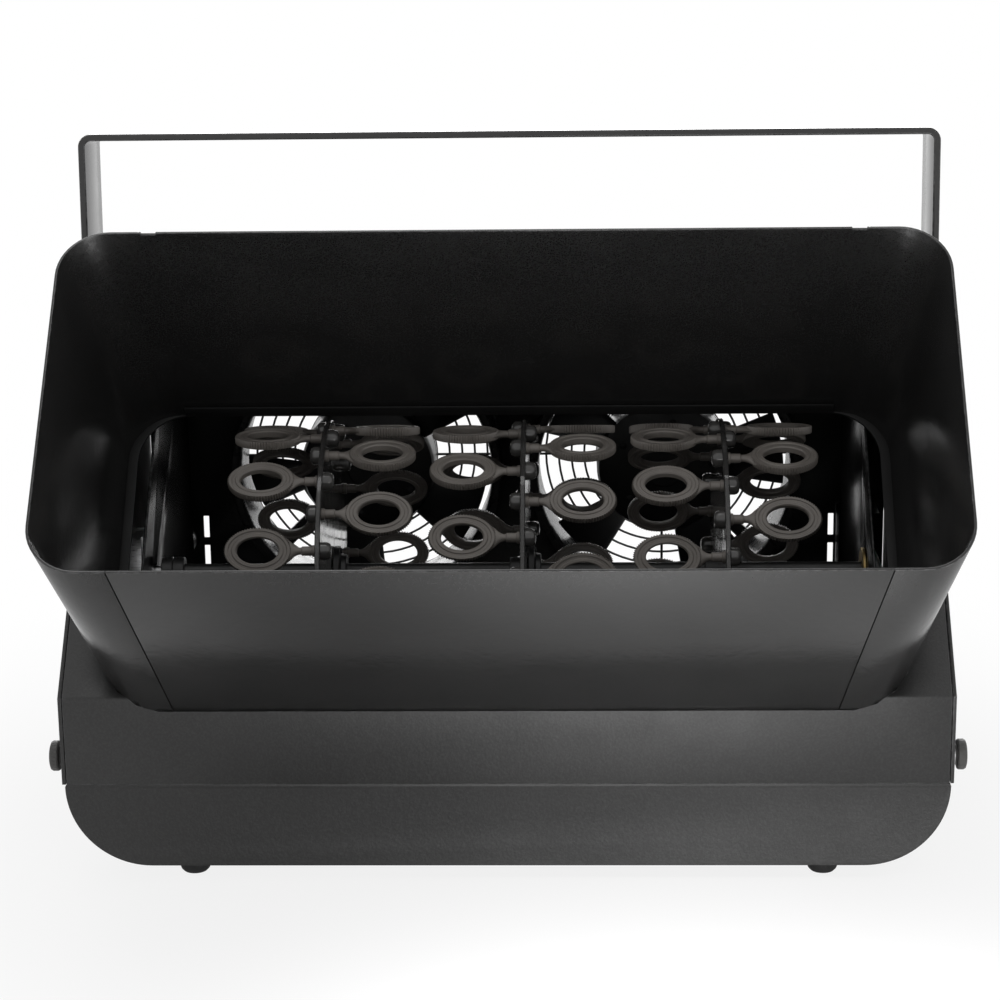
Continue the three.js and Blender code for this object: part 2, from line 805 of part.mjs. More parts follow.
function coupler() {
  const half = couplerLength / 2;
  const body = rod('x', couplerRadius, couplerMiddle - half, couplerMiddle + half,
    shaftY, shaftZ, smallSteps);
  const motorSide = rod('x', motorShaftRadius + seat, couplerMiddle - couplerLength, couplerMiddle,
    shaftY, shaftZ, smallSteps);
  const wheelSide = rod('x', shaftRadius + seat, couplerMiddle, couplerMiddle + couplerLength,
    shaftY, shaftZ, smallSteps);
  return cut(body, motorSide, wheelSide);
}

function motorBracket() {
  const half = bracketWidth / 2;
  const plate = block(bracketBack, bracketBack + bracketPlate, shaftY - half, shaftY + half,
    shaftZ - half, shaftZ + half);
  const hole = rod('x', bracketHole, bracketBack - overrun, bracketBack + overrun,
    shaftY, shaftZ, smallSteps);
  return cut(plate, hole);
}

place('drive_motor', driveMotor(), 'steel');
place('motor_shaft', motorShaft(), 'steel');
place('shaft_coupler', coupler(), 'steel');
place('motor_bracket', motorBracket(), 'steel');

// Fans

const fanBack = bodyDepth - sheet - seat;
const fanFront = fanBack - fanDepth;
const impellerBack = fanBack - fanBasePlate - fanBaseGap;
const impellerFront = impellerBack - fanHubLength;

function fanFrame(x) {
  const round = rod('y', fanRadius, fanFront, fanBack, x, fanZ, roundSteps);
  const ring = cut(round, rod('y', fanBore, fanFront - overrun, fanBack + overrun, x, fanZ, roundSteps));
  const plateFront = fanBack - fanBasePlate;
  let base = rod('y', fanHubRadius, plateFront, fanBack, x, fanZ, smallSteps);
  for (let index = 0; index < fanStruts; index += 1) {
    const strut = block(0, fanBore + fanStrutRoot, plateFront, fanBack,
      -fanStrutWidth / 2, fanStrutWidth / 2);
    const turn = ((index + 0.5) * 360) / fanStruts;
    base = join(base, strut.rotate([0, turn, 0]).translate(x, 0, fanZ));
  }
  const axle = rod('y', fanAxleRadius + runningGap, plateFront - overrun, fanBack + overrun,
    x, fanZ, smallSteps);
  return cut(join(ring, base), axle);
}

function fanImpeller(x, degrees) {
  let rotor = rod('y', fanHubRadius, impellerFront, impellerBack, x, fanZ, smallSteps);
  const middle = (impellerFront + impellerBack) / 2;
  const from = fanHubRadius - overrun;
  for (let index = 0; index < fanBlades; index += 1) {
    const blade = block(from, fanBladeTip, -fanBladeWidth / 2, fanBladeWidth / 2,
      -fanBladeThickness / 2, fanBladeThickness / 2);
    const turn = degrees + (index * 360) / fanBlades;
    const turned = blade.rotate([fanBladePitch, 0, 0]).rotate([0, turn, 0]);
    rotor = join(rotor, turned.translate(x, middle, fanZ));
  }
  const tips = rod('y', fanBladeTip, impellerFront, impellerBack, x, fanZ, roundSteps);
  const axle = rod('y', fanAxleRadius, impellerBack - overrun, impellerBack + fanAxleLength,
    x, fanZ, smallSteps);
  return join(rotor.intersect(tips), axle);
}

// Wire guard: rings in front of spokes that end on the rear panel
function fanGuard(x) {
  const spokeY = bodyDepth + seat + guardWire;
  const ringY = spokeY + guardWire + guardWire / 2;
  const span = (guardRadius - guardInnerRadius) / (guardRings - 1);
  const rings = [];
  for (let index = 0; index < guardRings; index += 1) {
    const radius = guardInnerRadius + index * span;
    const geometry = new THREE.TorusGeometry(radius, guardWire, wireSides, wireSteps);
    rings.push(solid(geometry.rotateX(Math.PI / 2).translate(x, ringY, fanZ)));
  }
  const spokes = [];
  for (let index = 0; index < guardSpokes; index += 1) {
    const spoke = rod('x', guardWire, guardInnerRadius - guardWire, guardRadius + guardWire,
      0, 0, wireSides);
    const turn = (index * 360) / guardSpokes;
    spokes.push(spoke.rotate([0, turn, 0]).translate(x, spokeY, fanZ));
  }
  return join(...rings, ...spokes);
}

sides.forEach(([name, side], index) => {
  const x = (side * fanSpacing) / 2;
  place(`fan_${name}_frame`, fanFrame(x), 'castBlack');
  place(`fan_${name}_impeller`, fanImpeller(x, fanBladeDegrees[index]), 'blackPlastic');
  place(`fan_${name}_guard`, fanGuard(x), 'steel');
});

// Yoke, drawn upright round its pivot and leaned back by its frame

function yokeBar() {
  const path = [[-yokeOuter, 0], [-yokeOuter, yokeHeight], [yokeOuter, yokeHeight], [yokeOuter, 0]];
  const half = yokeBarWidth / 2;
  const bar = runAlongY(bentSheet(path, yokeBend, yokeBarThickness), -half, half);
  const parts = [bar];
  for (const [, side] of sides) {
    const from = Math.min(side * yokeInner, side * yokeOuter);
    parts.push(rod('x', half, from, from + yokeBarThickness, 0, 0));
  }
  const pivots = rod('x', studHole, -yokeOuter - overrun, yokeOuter + overrun, 0, 0, smallSteps);
  const holes = [-1, 1].map((way) => rod('z', yokeHoleRadius, yokeHeight - farOverrun,
    yokeHeight + overrun, (way * yokeHoleSpacing) / 2, 0, smallSteps));
  return cut(join(...parts), pivots, ...holes);
}

place('yoke_bar', yokeBar(), 'powderBlack', yokeFrame);

function alongX(side, radius, from, to, y, z, steps) {
  const ends = [side * from, side * to];
  return rod('x', radius, Math.min(...ends), Math.max(...ends), y, z, steps);
}

for (const [name, side] of sides) {
  const knobFrom = yokeOuter + seat;
  const knob = alongX(side, knobRadius, knobFrom, knobFrom + knobLength, pivotY, pivotZ, smallSteps);
  const stud = alongX(side, studRadius, sideInner - weldNutLength, knobFrom + seat,
    pivotY, pivotZ, smallSteps);
  place(`yoke_knob_${name}`, join(knob, stud), 'blackPlastic');
  const washer = alongX(side, washerRadius, sideOuter + seat, yokeInner - seat, pivotY, pivotZ, smallSteps);
  const washerHole = alongX(side, studHole, sideInner, yokeOuter, pivotY, pivotZ, smallSteps);
  place(`yoke_washer_${name}`, cut(washer, washerHole), 'rubber');
}

// Thumbscrews that hold the cover to the pan

for (const [name, side] of sides) {
  const washerFrom = sideOuter + seat;
  const washerTo = washerFrom + thumbWasher;
  const headFrom = washerTo + seat;
  const head = alongX(side, thumbRadius, headFrom, headFrom + thumbLength, thumbY, thumbZ, smallSteps);
  const stud = alongX(side, thumbStud, headFrom - thumbStudLength, headFrom + seat,
    thumbY, thumbZ, smallSteps);
  place(`cover_screw_${name}`, join(head, stud), 'blackPlastic');
  const washer = alongX(side, thumbWasherRadius, washerFrom, washerTo, thumbY, thumbZ, smallSteps);
  const hole = alongX(side, thumbHole, sideInner, headFrom, thumbY, thumbZ, smallSteps);
  place(`cover_screw_washer_${name}`, cut(washer, hole), 'steel');
}

// Power inlet with its fuse drawer

function powerInlet() {
  const back = bodyDepth + seat + inletFlange;
  const flange = block(controlX - inletWidth / 2, controlX + inletWidth / 2, bodyDepth + seat, back,
    inletZ - inletHeight / 2, inletZ + inletHeight / 2);
  const body = block(controlX - inletBodyWidth / 2, controlX + inletBodyWidth / 2,
    bodyDepth - inletBodyDepth, bodyDepth + seat + inletFlange / 2,
    inletZ - inletBodyHeight / 2, inletZ + inletBodyHeight / 2);
  const wellZ = inletZ + inletWellRise;
  const well = block(controlX - inletWellWidth / 2, controlX + inletWellWidth / 2,
    back - inletWellDepth, back + overrun, wellZ - inletWellHeight / 2, wellZ + inletWellHeight / 2);
  const fuseZ = inletZ - fuseDrop;
  const drawerWell = block(controlX - fuseWidth / 2 - seat, controlX + fuseWidth / 2 + seat,
    back - fuseDepth - seat, back + overrun, fuseZ - fuseHeight / 2 - seat, fuseZ + fuseHeight / 2 + seat);
  const pins = [-1, 0, 1].map((column) => {
    const x = controlX + column * inletPinSpacing;
    const z = wellZ + (column === 0 ? inletPinRise : -inletPinRise);
    return block(x - inletPinWidth / 2, x + inletPinWidth / 2, back - inletWellDepth - seat,
      back - inletWellDepth + inletPinLength, z - inletPinHeight / 2, z + inletPinHeight / 2);
  });
  return join(cut(join(flange, body), well, drawerWell), ...pins);
}

function fuseDrawer() {
  const back = bodyDepth + seat + inletFlange;
  const fuseZ = inletZ - fuseDrop;
  return block(controlX - fuseWidth / 2, controlX + fuseWidth / 2, back - fuseDepth, back + fuseFace,
    fuseZ - fuseHeight / 2, fuseZ + fuseHeight / 2);
}

place('power_inlet', powerInlet(), 'blackPlastic');
place('fuse_drawer', fuseDrawer(), 'blackPlastic');

// Power switch: a housing with a well, and a rocker that stands in it

function switchHousing() {
  const back = bodyDepth + seat + switchFlange;
  const flange = block(controlX - switchWidth / 2, controlX + switchWidth / 2, bodyDepth + seat, back,
    switchZ - switchHeight / 2, switchZ + switchHeight / 2);
  const body = block(controlX - switchBodyWidth / 2, controlX + switchBodyWidth / 2,
    bodyDepth - switchBodyDepth, bodyDepth + seat + switchFlange / 2,
    switchZ - switchBodyHeight / 2, switchZ + switchBodyHeight / 2);
  const halfWidth = rockerWidth / 2 + rockerGap;
  const halfHeight = rockerHeight / 2 + rockerGap + rockerGap;
  const well = block(controlX - halfWidth, controlX + halfWidth, back - rockerDepth - rockerDip,
    back + overrun, switchZ - halfHeight, switchZ + halfHeight);
  return cut(join(flange, body), well);
}

function switchRocker() {
  const back = bodyDepth + seat + switchFlange;
  const half = rockerHeight / 2;
  const low = back - rockerDepth;
  const shape = outline([
    [low, switchZ - half], [back + rockerStand, switchZ - half], [back, switchZ],
    [back + rockerStand, switchZ + half], [low, switchZ + half],
  ]);
  const rocker = runAlongX(shape, controlX - rockerWidth / 2, controlX + rockerWidth / 2);
  const pivot = back - rockerPivotDepth;
  return rocker.translate(0, -pivot, -switchZ).rotate([rockerTilt, 0, 0]).translate(0, pivot, switchZ);
}

place('power_switch', switchHousing(), 'blackPlastic');
place('switch_rocker', switchRocker(), 'blackPlastic');

// Remote socket

function remoteSocket() {
  const back = bodyDepth + seat + remoteFlange;
  const flange = rod('y', remoteRadius, bodyDepth + seat, back, remoteX, remoteZ, smallSteps);
  const body = rod('y', remoteBodyRadius, bodyDepth - remoteBodyDepth, bodyDepth + seat + remoteFlange / 2,
    remoteX, remoteZ, smallSteps);
  const well = rod('y', remoteWellRadius, back - remoteWellDepth, back + overrun,
    remoteX, remoteZ, smallSteps);
  return cut(join(flange, body), well);
}

place('remote_socket', remoteSocket(), 'blackPlastic');

// Control board on four standoffs beside the right inner wall

function controlBoard() {
  const wallFace = wallInner + sheet + seat;
  const boardFrom = wallFace + standoffLength;
  const boardTo = boardFrom + boardThickness;
  const halfLength = boardLength / 2;
  const halfHeight = boardHeight / 2;
  const parts = [block(boardFrom, boardTo, boardY - halfLength, boardY + halfLength,
    boardZ - halfHeight, boardZ + halfHeight)];
  for (const a of [-1, 1]) {
    for (const b of [-1, 1]) {
      parts.push(rod('x', standoffRadius, wallFace, boardTo, boardY + a * (halfLength - standoffInset),
        boardZ + b * (halfHeight - standoffInset), nutSides));
    }
  }
  const relayY = boardY + standoffInset;
  parts.push(block(boardTo - seat, boardTo + relayDepth, relayY, relayY + relayLength,
    boardZ - relayHeight / 2, boardZ + relayHeight / 2));
  const coilY = boardY - standoffInset;
  parts.push(block(boardTo - seat, boardTo + coilDepth, coilY - coilLength, coilY,
    boardZ - coilHeight / 2, boardZ + coilHeight / 2));
  return join(...parts);
}

place('control_board', controlBoard(), 'board');

// The whole machine, moved so that its box stands on the origin
const lipFront = ((mouthRise - hoodSheet) * Math.cos(slope)) - hoodDepth * Math.sin(slope);
machine.position.y = -(lipFront + drainEnd) / 2;

const bubbleMachine = new THREE.Group();
bubbleMachine.add(machine);

export default bubbleMachine;
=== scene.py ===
# %% [markdown]
# A bubble machine in folded, powder-coated sheet steel. The machine is already there as a set of
# plain solids, one for each real piece, with its joints. This lesson dresses those solids: it
# models the pieces that show, gives each a finish, and lights them like a studio photograph.

# %% Load the frame
import json
import math
import bmesh
import bpy
from mathutils import Matrix, Vector

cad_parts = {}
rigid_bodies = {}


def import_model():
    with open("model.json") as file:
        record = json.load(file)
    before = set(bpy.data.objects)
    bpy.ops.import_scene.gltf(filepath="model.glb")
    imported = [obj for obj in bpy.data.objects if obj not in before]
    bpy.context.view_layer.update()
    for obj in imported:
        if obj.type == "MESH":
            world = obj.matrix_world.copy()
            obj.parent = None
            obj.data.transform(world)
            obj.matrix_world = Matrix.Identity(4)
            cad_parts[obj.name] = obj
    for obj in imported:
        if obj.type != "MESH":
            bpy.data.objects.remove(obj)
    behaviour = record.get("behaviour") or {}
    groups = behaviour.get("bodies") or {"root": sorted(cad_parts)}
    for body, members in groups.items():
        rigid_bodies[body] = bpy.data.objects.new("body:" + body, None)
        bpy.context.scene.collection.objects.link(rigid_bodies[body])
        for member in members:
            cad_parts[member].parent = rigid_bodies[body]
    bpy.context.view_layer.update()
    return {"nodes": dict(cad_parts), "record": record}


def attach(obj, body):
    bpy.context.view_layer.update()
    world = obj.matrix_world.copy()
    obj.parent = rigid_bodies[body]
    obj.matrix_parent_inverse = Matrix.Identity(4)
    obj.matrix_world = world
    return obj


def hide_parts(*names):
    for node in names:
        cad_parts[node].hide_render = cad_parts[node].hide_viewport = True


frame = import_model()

# %% [markdown]
# Sheet-metal work is thought out in millimetres from a datum: here the front face of the cover
# and the floor. Blender works in metres, so every shape is modelled in millimetres and one
# matrix carries it to its place. The hood, the yoke and the wheels each get a datum of their
# own, because their shapes are simple when seen along the slope, the yoke or the shaft.

# %% Datums
millimetre = 0.001
front_face_y = -0.129663


def rotation(degrees, axis, size=4):
    """A turn about one axis through the datum."""
    return Matrix.Rotation(math.radians(degrees), size, axis)


def moved(x, y, z):
    """A move, in the units of the matrix before it."""
    return Matrix.Translation((x, y, z))


machine = moved(0, front_face_y, 0) @ Matrix.Scale(millimetre, 4)
bend_height = 107.0
slope = machine @ moved(0, 0, bend_height) @ rotation(45, "X")
yoke_pivot, yoke_lean = (0, 186.7, 150), 4.4
yoke = machine @ Matrix.Translation(yoke_pivot) @ rotation(-yoke_lean, "X")
shaft_place = (0, 110, 146.5)
shaft = machine @ Matrix.Translation(shaft_place)
fan_height = 160
fan_middles = {"left": -95.0, "right": 95.0}
along_x = rotation(90, "Y")
along_y = rotation(-90, "X")
sides = {"left": -1, "right": 1}
bodies = frame["record"]["behaviour"]["bodies"]
body_of = {node: body for body, nodes in bodies.items() for node in nodes}
print("datum of the front face:", front_face_y)

# %% [markdown]
# The camera stands where the photograph was taken from: 1.38 m away, 15 degrees above the
# horizon and almost straight in front. The long lens keeps the sides nearly parallel. The
# camera is tipped by less than a degree, which shows in the slight fall of every level line.

# %% Camera
scene_objects = bpy.context.scene.collection.objects
camera_data = bpy.data.cameras.new("camera")
sensor_width, focal_pixels, picture_pixels = 36, 2615, 1000
camera_data.sensor_width = sensor_width
camera_data.lens = focal_pixels / picture_pixels * sensor_width
camera_data.shift_x = -0.0025
camera = bpy.data.objects.new("camera", camera_data)
scene_objects.link(camera)
yaw, pitch, roll = math.radians(1.7), math.radians(15), math.radians(-0.7)
backward = Vector((math.sin(yaw) * math.cos(pitch), -math.cos(yaw) * math.cos(pitch),
                   math.sin(pitch)))
level = Vector((math.cos(yaw), math.sin(yaw), 0))
upward = backward.cross(level)
right = level * math.cos(roll) + upward * math.sin(roll)
upright = upward * math.cos(roll) - level * math.sin(roll)
aim, camera_distance = Vector((0, front_face_y, 0.2174)), 1.38
turn = Matrix((right, upright, backward)).transposed().to_4x4()
camera.matrix_world = Matrix.Translation(aim + backward * camera_distance) @ turn
bpy.context.scene.camera = camera
print("camera at", [round(v, 3) for v in camera.matrix_world.translation])

# %% [markdown]
# Black paint shows only what it reflects. The studio is therefore white all round, and the
# world is brighter for the camera and for reflections than as a lamp. The floor is white too,
# but it glows less near the machine, once as the camera sees it and once as the paint mirrors
# it. So it keeps the machine's shadow, and the lower sheets don't mirror a lit table.

# %% World
def add_node(tree, kind, **values):
    node = tree.nodes.new(kind)
    for name, value in values.items():
        if name in node.inputs:
            node.inputs[name].default_value = value
        else:
            setattr(node, name, value)
    return node


def seen_directly(tree):
    """The ray's kind, and 1 where the camera looks straight or through something clear."""
    rays = add_node(tree, "ShaderNodeLightPath")
    direct = add_node(tree, "ShaderNodeMath", operation="MAXIMUM")
    tree.links.new(rays.outputs["Is Camera Ray"], direct.inputs[0])
    tree.links.new(rays.outputs["Is Transmission Ray"], direct.inputs[1])
    return rays, direct.outputs[0]


def mixed_shader(tree, factor, first, second):
    mix = add_node(tree, "ShaderNodeMixShader")
    tree.links.new(factor, mix.inputs["Fac"])
    tree.links.new(first, mix.inputs[1])
    tree.links.new(second, mix.inputs[2])
    return mix.outputs[0]


world = bpy.data.worlds.new("studio")
bpy.context.scene.world = world
world.use_nodes = True
tree = world.node_tree
tree.nodes.clear()
rays, direct = seen_directly(tree)
ambient, mirrored, white = (
    add_node(tree, "ShaderNodeBackground", Color=(1, 1, 1, 1), Strength=strength).outputs[0]
    for strength in (0.42, 1.0, 1.0))
lit = mixed_shader(tree, rays.outputs["Is Glossy Ray"], ambient, mirrored)
world_out = add_node(tree, "ShaderNodeOutputWorld")
tree.links.new(mixed_shader(tree, direct, lit, white), world_out.inputs["Surface"])

# %% Floor
floor_mesh = bmesh.new()
bmesh.ops.create_grid(floor_mesh, x_segments=1, y_segments=1, size=4)
floor_data = bpy.data.meshes.new("floor")
floor_mesh.to_mesh(floor_data)
floor_mesh.free()
floor = bpy.data.objects.new("floor", floor_data)
scene_objects.link(floor)
floor.location.z = -0.0005
floor_paper = bpy.data.materials.new("floor_paper")
floor_paper.use_nodes = True
tree = floor_paper.node_tree
paper = tree.nodes["Principled BSDF"]
paper.inputs["Base Color"].default_value = (0.62, 0.62, 0.62, 1)
paper.inputs["Roughness"].default_value = 0.9
glow = add_node(tree, "ShaderNodeEmission", Color=(1, 1, 1, 1), Strength=1.0)
rays, direct = seen_directly(tree)
place = add_node(tree, "ShaderNodeTexCoord")
shares = []
pools = ((direct, 0.85, 0.25, 0.55, (1, 1, 1)),
         (rays.outputs["Is Glossy Ray"], 0.12, 0.25, 0.85, (2.6, 0.5, 1)))
for seen_by, near, start, end, stretch in pools:
    mapping = add_node(tree, "ShaderNodeMapping", Scale=stretch)
    tree.links.new(place.outputs["Object"], mapping.inputs["Vector"])
    distance = add_node(tree, "ShaderNodeVectorMath", operation="LENGTH")
    tree.links.new(mapping.outputs["Vector"], distance.inputs[0])
    fade = add_node(tree, "ShaderNodeMapRange", interpolation_type="SMOOTHSTEP")
    for name, value in (("From Min", start), ("From Max", end), ("To Min", near), ("To Max", 1.0)):
        fade.inputs[name].default_value = value
    tree.links.new(distance.outputs["Value"], fade.inputs["Value"])
    part = add_node(tree, "ShaderNodeMath", operation="MULTIPLY")
    tree.links.new(seen_by, part.inputs[0])
    tree.links.new(fade.outputs["Result"], part.inputs[1])
    shares.append(part.outputs[0])
share = add_node(tree, "ShaderNodeMath", operation="MAXIMUM")
tree.links.new(shares[0], share.inputs[0])
tree.links.new(shares[1], share.inputs[1])
blend = mixed_shader(tree, share.outputs[0], paper.outputs[0], glow.outputs[0])
tree.links.new(blend, tree.nodes["Material Output"].inputs["Surface"])
floor_data.materials.append(floor_paper)

# %% [markdown]
# Four lamps do the rest. A small soft one low in front makes the right side of the front face
# lighter, as in the photograph. Large ones above and behind draw the light lines along the
# edges, and a narrow spot lights the floor in front, whose glow fills the lower sheets. All are
# plain white, so that every colour stays as it is written.

# %% Lamps
def aimed_lamp(data, place, target):
    """Stands a lamp at its place and turns it to its target."""
    lamp = bpy.data.objects.new(data.name, data)
    scene_objects.link(lamp)
    lamp.location = place
    lamp.rotation_euler = (Vector(target) - Vector(place)).to_track_quat("-Z", "Y").to_euler()


def soft_lamp(name, place, target, size, watts):
    data = bpy.data.lights.new(name, "AREA")
    data.shape = "RECTANGLE"
    data.size, data.size_y = size
    data.energy = watts
    aimed_lamp(data, place, target)


soft_lamp("key_lamp", (0.17, -0.66, 0.14), (0.1, -0.13, 0.08), (0.3, 0.2), 0.8)
soft_lamp("top_lamp", (-0.2, 0.3, 1.9), (0, 0, 0.2), (1.6, 1.2), 11)
soft_lamp("back_lamp", (0, 2.2, 0.9), (0, 0, 0.25), (3.0, 1.4), 60)

pool_data = bpy.data.lights.new("floor_spot", "SPOT")
pool_data.energy = 1500
pool_data.spot_size = math.radians(16)
pool_data.spot_blend = 1.0
pool_data.shadow_soft_size = 0.12
aimed_lamp(pool_data, (0.5, -1.45, 1.5), (0.14, -0.5, 0))

# %% [markdown]
# Powder coat is a baked plastic skin. From close by it has a fine leathery grain, its gloss
# changes a little from place to place, and handling rubs it lighter along the edges. The grain
# is a bump, made by two noises of different size. The rubbed edges are found by a value that
# the edge rounding below leaves on its own faces, called edge_wear. The sheets differ a little
# in gloss and grain, so each has a coat of its own; the hood's coat is also painted lighter than
# the body's, as painted light for the light inside the hood. A seam between two sheets is a
# narrow gap in shade, and the faces inside it get a black that mirrors nothing: painted shade.

# %% Paint
def new_finish(name):
    """A new material, with its node tree and its shader."""
    material = bpy.data.materials.new(name)
    material.use_nodes = True
    return material, material.node_tree, material.node_tree.nodes["Principled BSDF"]


def object_noise(tree, grain, detail=2.0, roughness=0.5, stretch=None):
    """A noise whose grains are that many millimetres across."""
    place = add_node(tree, "ShaderNodeTexCoord")
    source = place.outputs["Object"]
    if stretch:
        mapping = add_node(tree, "ShaderNodeMapping", Scale=stretch)
        tree.links.new(source, mapping.inputs["Vector"])
        source = mapping.outputs["Vector"]
    noise = add_node(tree, "ShaderNodeTexNoise", Scale=1 / (grain * millimetre), Detail=detail,
                     Roughness=roughness)
    tree.links.new(source, noise.inputs["Vector"])
    return noise.outputs["Fac"]


def spread(tree, source, low, high, start=0.3, end=0.7):
    """A noise stretched to run from low to high."""
    span = add_node(tree, "ShaderNodeMapRange")
    for name, value in (("From Min", start), ("From Max", end), ("To Min", low), ("To Max", high)):
        span.inputs[name].default_value = value
    tree.links.new(source, span.inputs["Value"])
    return span.outputs["Result"]


def mixed(tree, factor, first, second):
    """A colour between two, by a factor. Each is a plain colour or a socket."""
    mix = add_node(tree, "ShaderNodeMix", data_type="RGBA")
    tree.links.new(factor, mix.inputs["Factor"])
    for socket, colour in ((mix.inputs["A"], first), (mix.inputs["B"], second)):
        if isinstance(colour, tuple):
            socket.default_value = (*colour, 1)
        else:
            tree.links.new(colour, socket)
    return mix.outputs["Result"]


def bumped(tree, shader, heights):
    """Bumps on the shader, from (noise, height in millimetres) pairs, finest last."""
    normal = None
    for source, height in heights:
        bump = add_node(tree, "ShaderNodeBump", Strength=1.0, Distance=height * millimetre)
        tree.links.new(source, bump.inputs["Height"])
        if normal:
            tree.links.new(normal, bump.inputs["Normal"])
        normal = bump.outputs["Normal"]
    tree.links.new(normal, shader.inputs["Normal"])


fleck_colour, worn_colour = (0.06, 0.06, 0.06), (0.16, 0.16, 0.163)


def paint(name, dark, light, rough, grain, height, wear=0.5, peel=0.1, gloss=0.5, fleck=0.2):
    """Painted sheet. Dark and light are its colours, grain and height those of its texture."""
    material, tree, shader = new_finish(name)
    shader.inputs["Specular IOR Level"].default_value = gloss
    patches = object_noise(tree, 38, 3)
    colour = mixed(tree, spread(tree, patches, 0, 1), dark, light)
    flecks = spread(tree, object_noise(tree, grain, 2, 0.6), 0, fleck, 0.4, 0.75)
    colour = mixed(tree, flecks, colour, fleck_colour)
    edge = add_node(tree, "ShaderNodeAttribute", attribute_name="edge_wear")
    rubbing = spread(tree, object_noise(tree, 6, 4, 0.65), 0, wear, 0.42, 0.66)
    rubbed = add_node(tree, "ShaderNodeMath", operation="MULTIPLY")
    tree.links.new(edge.outputs["Fac"], rubbed.inputs[0])
    tree.links.new(rubbing, rubbed.inputs[1])
    colour = mixed(tree, rubbed.outputs[0], colour, worn_colour)
    tree.links.new(colour, shader.inputs["Base Color"])
    tree.links.new(spread(tree, object_noise(tree, 24, 3), *rough), shader.inputs["Roughness"])
    bumped(tree, shader, [(object_noise(tree, grain * 5, 1), peel),
                          (object_noise(tree, grain, 2, 0.55), height)])
    return material


powder_coat = paint("powder_coat", (0.006, 0.0059, 0.0058), (0.0085, 0.0084, 0.0082),
                    (0.36, 0.46), 1.3, 0.1)
# The hood's coat is the powder coat painted lighter: painted light for the light inside the hood.
hood_coat_painted_light = paint("hood_coat_painted_light", (0.0115, 0.0114, 0.0112), (0.015, 0.0148, 0.0146),
                  (0.2, 0.26), 0.9, 0.02)
liner_coat = paint("liner_coat", (0.009, 0.009, 0.009), (0.013, 0.013, 0.013),
                   (0.2, 0.24), 1.2, 0.0003, peel=0.001, gloss=0.25, fleck=0)
frame_coat = paint("frame_coat", (0.008, 0.008, 0.008), (0.011, 0.011, 0.011),
                   (0.5, 0.6), 1.2, 0.01, peel=0.01, gloss=0.25, fleck=0)
yoke_coat = paint("yoke_coat", (0.02, 0.0197, 0.0195), (0.034, 0.0335, 0.033),
                  (0.14, 0.2), 0.9, 0.012, wear=0.8, peel=0.008)

seam_shadow, tree, shader = new_finish("seam_shadow")
shader.inputs["Base Color"].default_value = (0.003, 0.003, 0.003, 1)
shader.inputs["Roughness"].default_value = 1.0
shader.inputs["Specular IOR Level"].default_value = 0.05
print("paints:", powder_coat.name, hood_coat_painted_light.name, liner_coat.name, yoke_coat.name)

# %% [markdown]
# The other finishes are plastics, rubber and metals. A moulded plastic is even, with a fine
# spark-eroded grain. Steel that was brushed or drawn has streaks, made by a noise that is
# squeezed across and stretched along. The wheels' discs are smoked acrylic: light passes
# through them and is dimmed, so they are a dark glass.

# %% Plastics, rubber and metals
def moulded(name, dark, light, rough, grain=0.8, height=0.012, metal=0.0, streaks=None, patch=12):
    """Any even finish. Streaks stretch its pattern, for metal that was brushed or turned."""
    material, tree, shader = new_finish(name)
    shader.inputs["Metallic"].default_value = metal
    colour = spread(tree, object_noise(tree, patch, 3, 0.5, streaks), 0, 1)
    tree.links.new(mixed(tree, colour, dark, light), shader.inputs["Base Color"])
    gloss = spread(tree, object_noise(tree, patch / 2, 2, 0.5, streaks), *rough)
    tree.links.new(gloss, shader.inputs["Roughness"])
    bumped(tree, shader, [(object_noise(tree, grain, 2, 0.5, streaks), height)])
    return material


black_plastic = moulded("black_plastic", (0.012, 0.012, 0.0125), (0.02, 0.02, 0.0205),
                        (0.35, 0.5), 0.7, 0.02)
knob_plastic = moulded("knob_plastic", (0.04, 0.039, 0.038), (0.06, 0.058, 0.056),
                       (0.45, 0.6), 0.7, 0.02)
rubber = moulded("rubber", (0.014, 0.014, 0.014), (0.024, 0.0235, 0.023),
                 (0.65, 0.85), 0.5, 0.03)
wand_plastic = moulded("wand_plastic", (0.15, 0.135, 0.122), (0.2, 0.183, 0.166),
                       (0.42, 0.6), 0.6, 0.03)
brushed_steel = moulded("brushed_steel", (0.42, 0.42, 0.425), (0.6, 0.6, 0.6),
                        (0.25, 0.42), 0.5, 0.01, 1.0, (1, 14, 14))
blackened_steel = moulded("blackened_steel", (0.012, 0.012, 0.012), (0.022, 0.022, 0.022),
                          (0.35, 0.5), 0.5, 0.01)
turned_brass = moulded("turned_brass", (0.3, 0.21, 0.085), (0.42, 0.31, 0.14),
                       (0.32, 0.45), 0.4, 0.008, 1.0, (14, 1, 14))
guard_wire = moulded("guard_wire", (0.012, 0.012, 0.012), (0.02, 0.02, 0.02),
                     (0.3, 0.45), 0.6, 0.01)
cast_paint = moulded("cast_paint", (0.02, 0.02, 0.0205), (0.034, 0.034, 0.034),
                     (0.24, 0.34), 1.4, 0.003)
board_green = moulded("board_green", (0.01, 0.07, 0.03), (0.02, 0.12, 0.05),
                      (0.25, 0.4), 2.0, 0.01)

smoked_acrylic, tree, shader = new_finish("smoked_acrylic")
shader.inputs["Transmission Weight"].default_value = 0.8
shader.inputs["IOR"].default_value = 1.45
film = spread(tree, object_noise(tree, 16, 3), 0, 1)
tint = mixed(tree, film, (0.16, 0.155, 0.15), (0.24, 0.235, 0.23))
tree.links.new(tint, shader.inputs["Base Color"])
tree.links.new(spread(tree, object_noise(tree, 9, 4), 0.03, 0.14), shader.inputs["Roughness"])
bumped(tree, shader, [(object_noise(tree, 9, 2), 0.05)])

clear_boss = moulded("clear_boss", (0.07, 0.068, 0.066), (0.12, 0.117, 0.113),
                     (0.12, 0.25), 1.0, 0.02)
clear_boss.node_tree.nodes["Principled BSDF"].inputs["Transmission Weight"].default_value = 0.3
print("finishes:", len(bpy.data.materials))

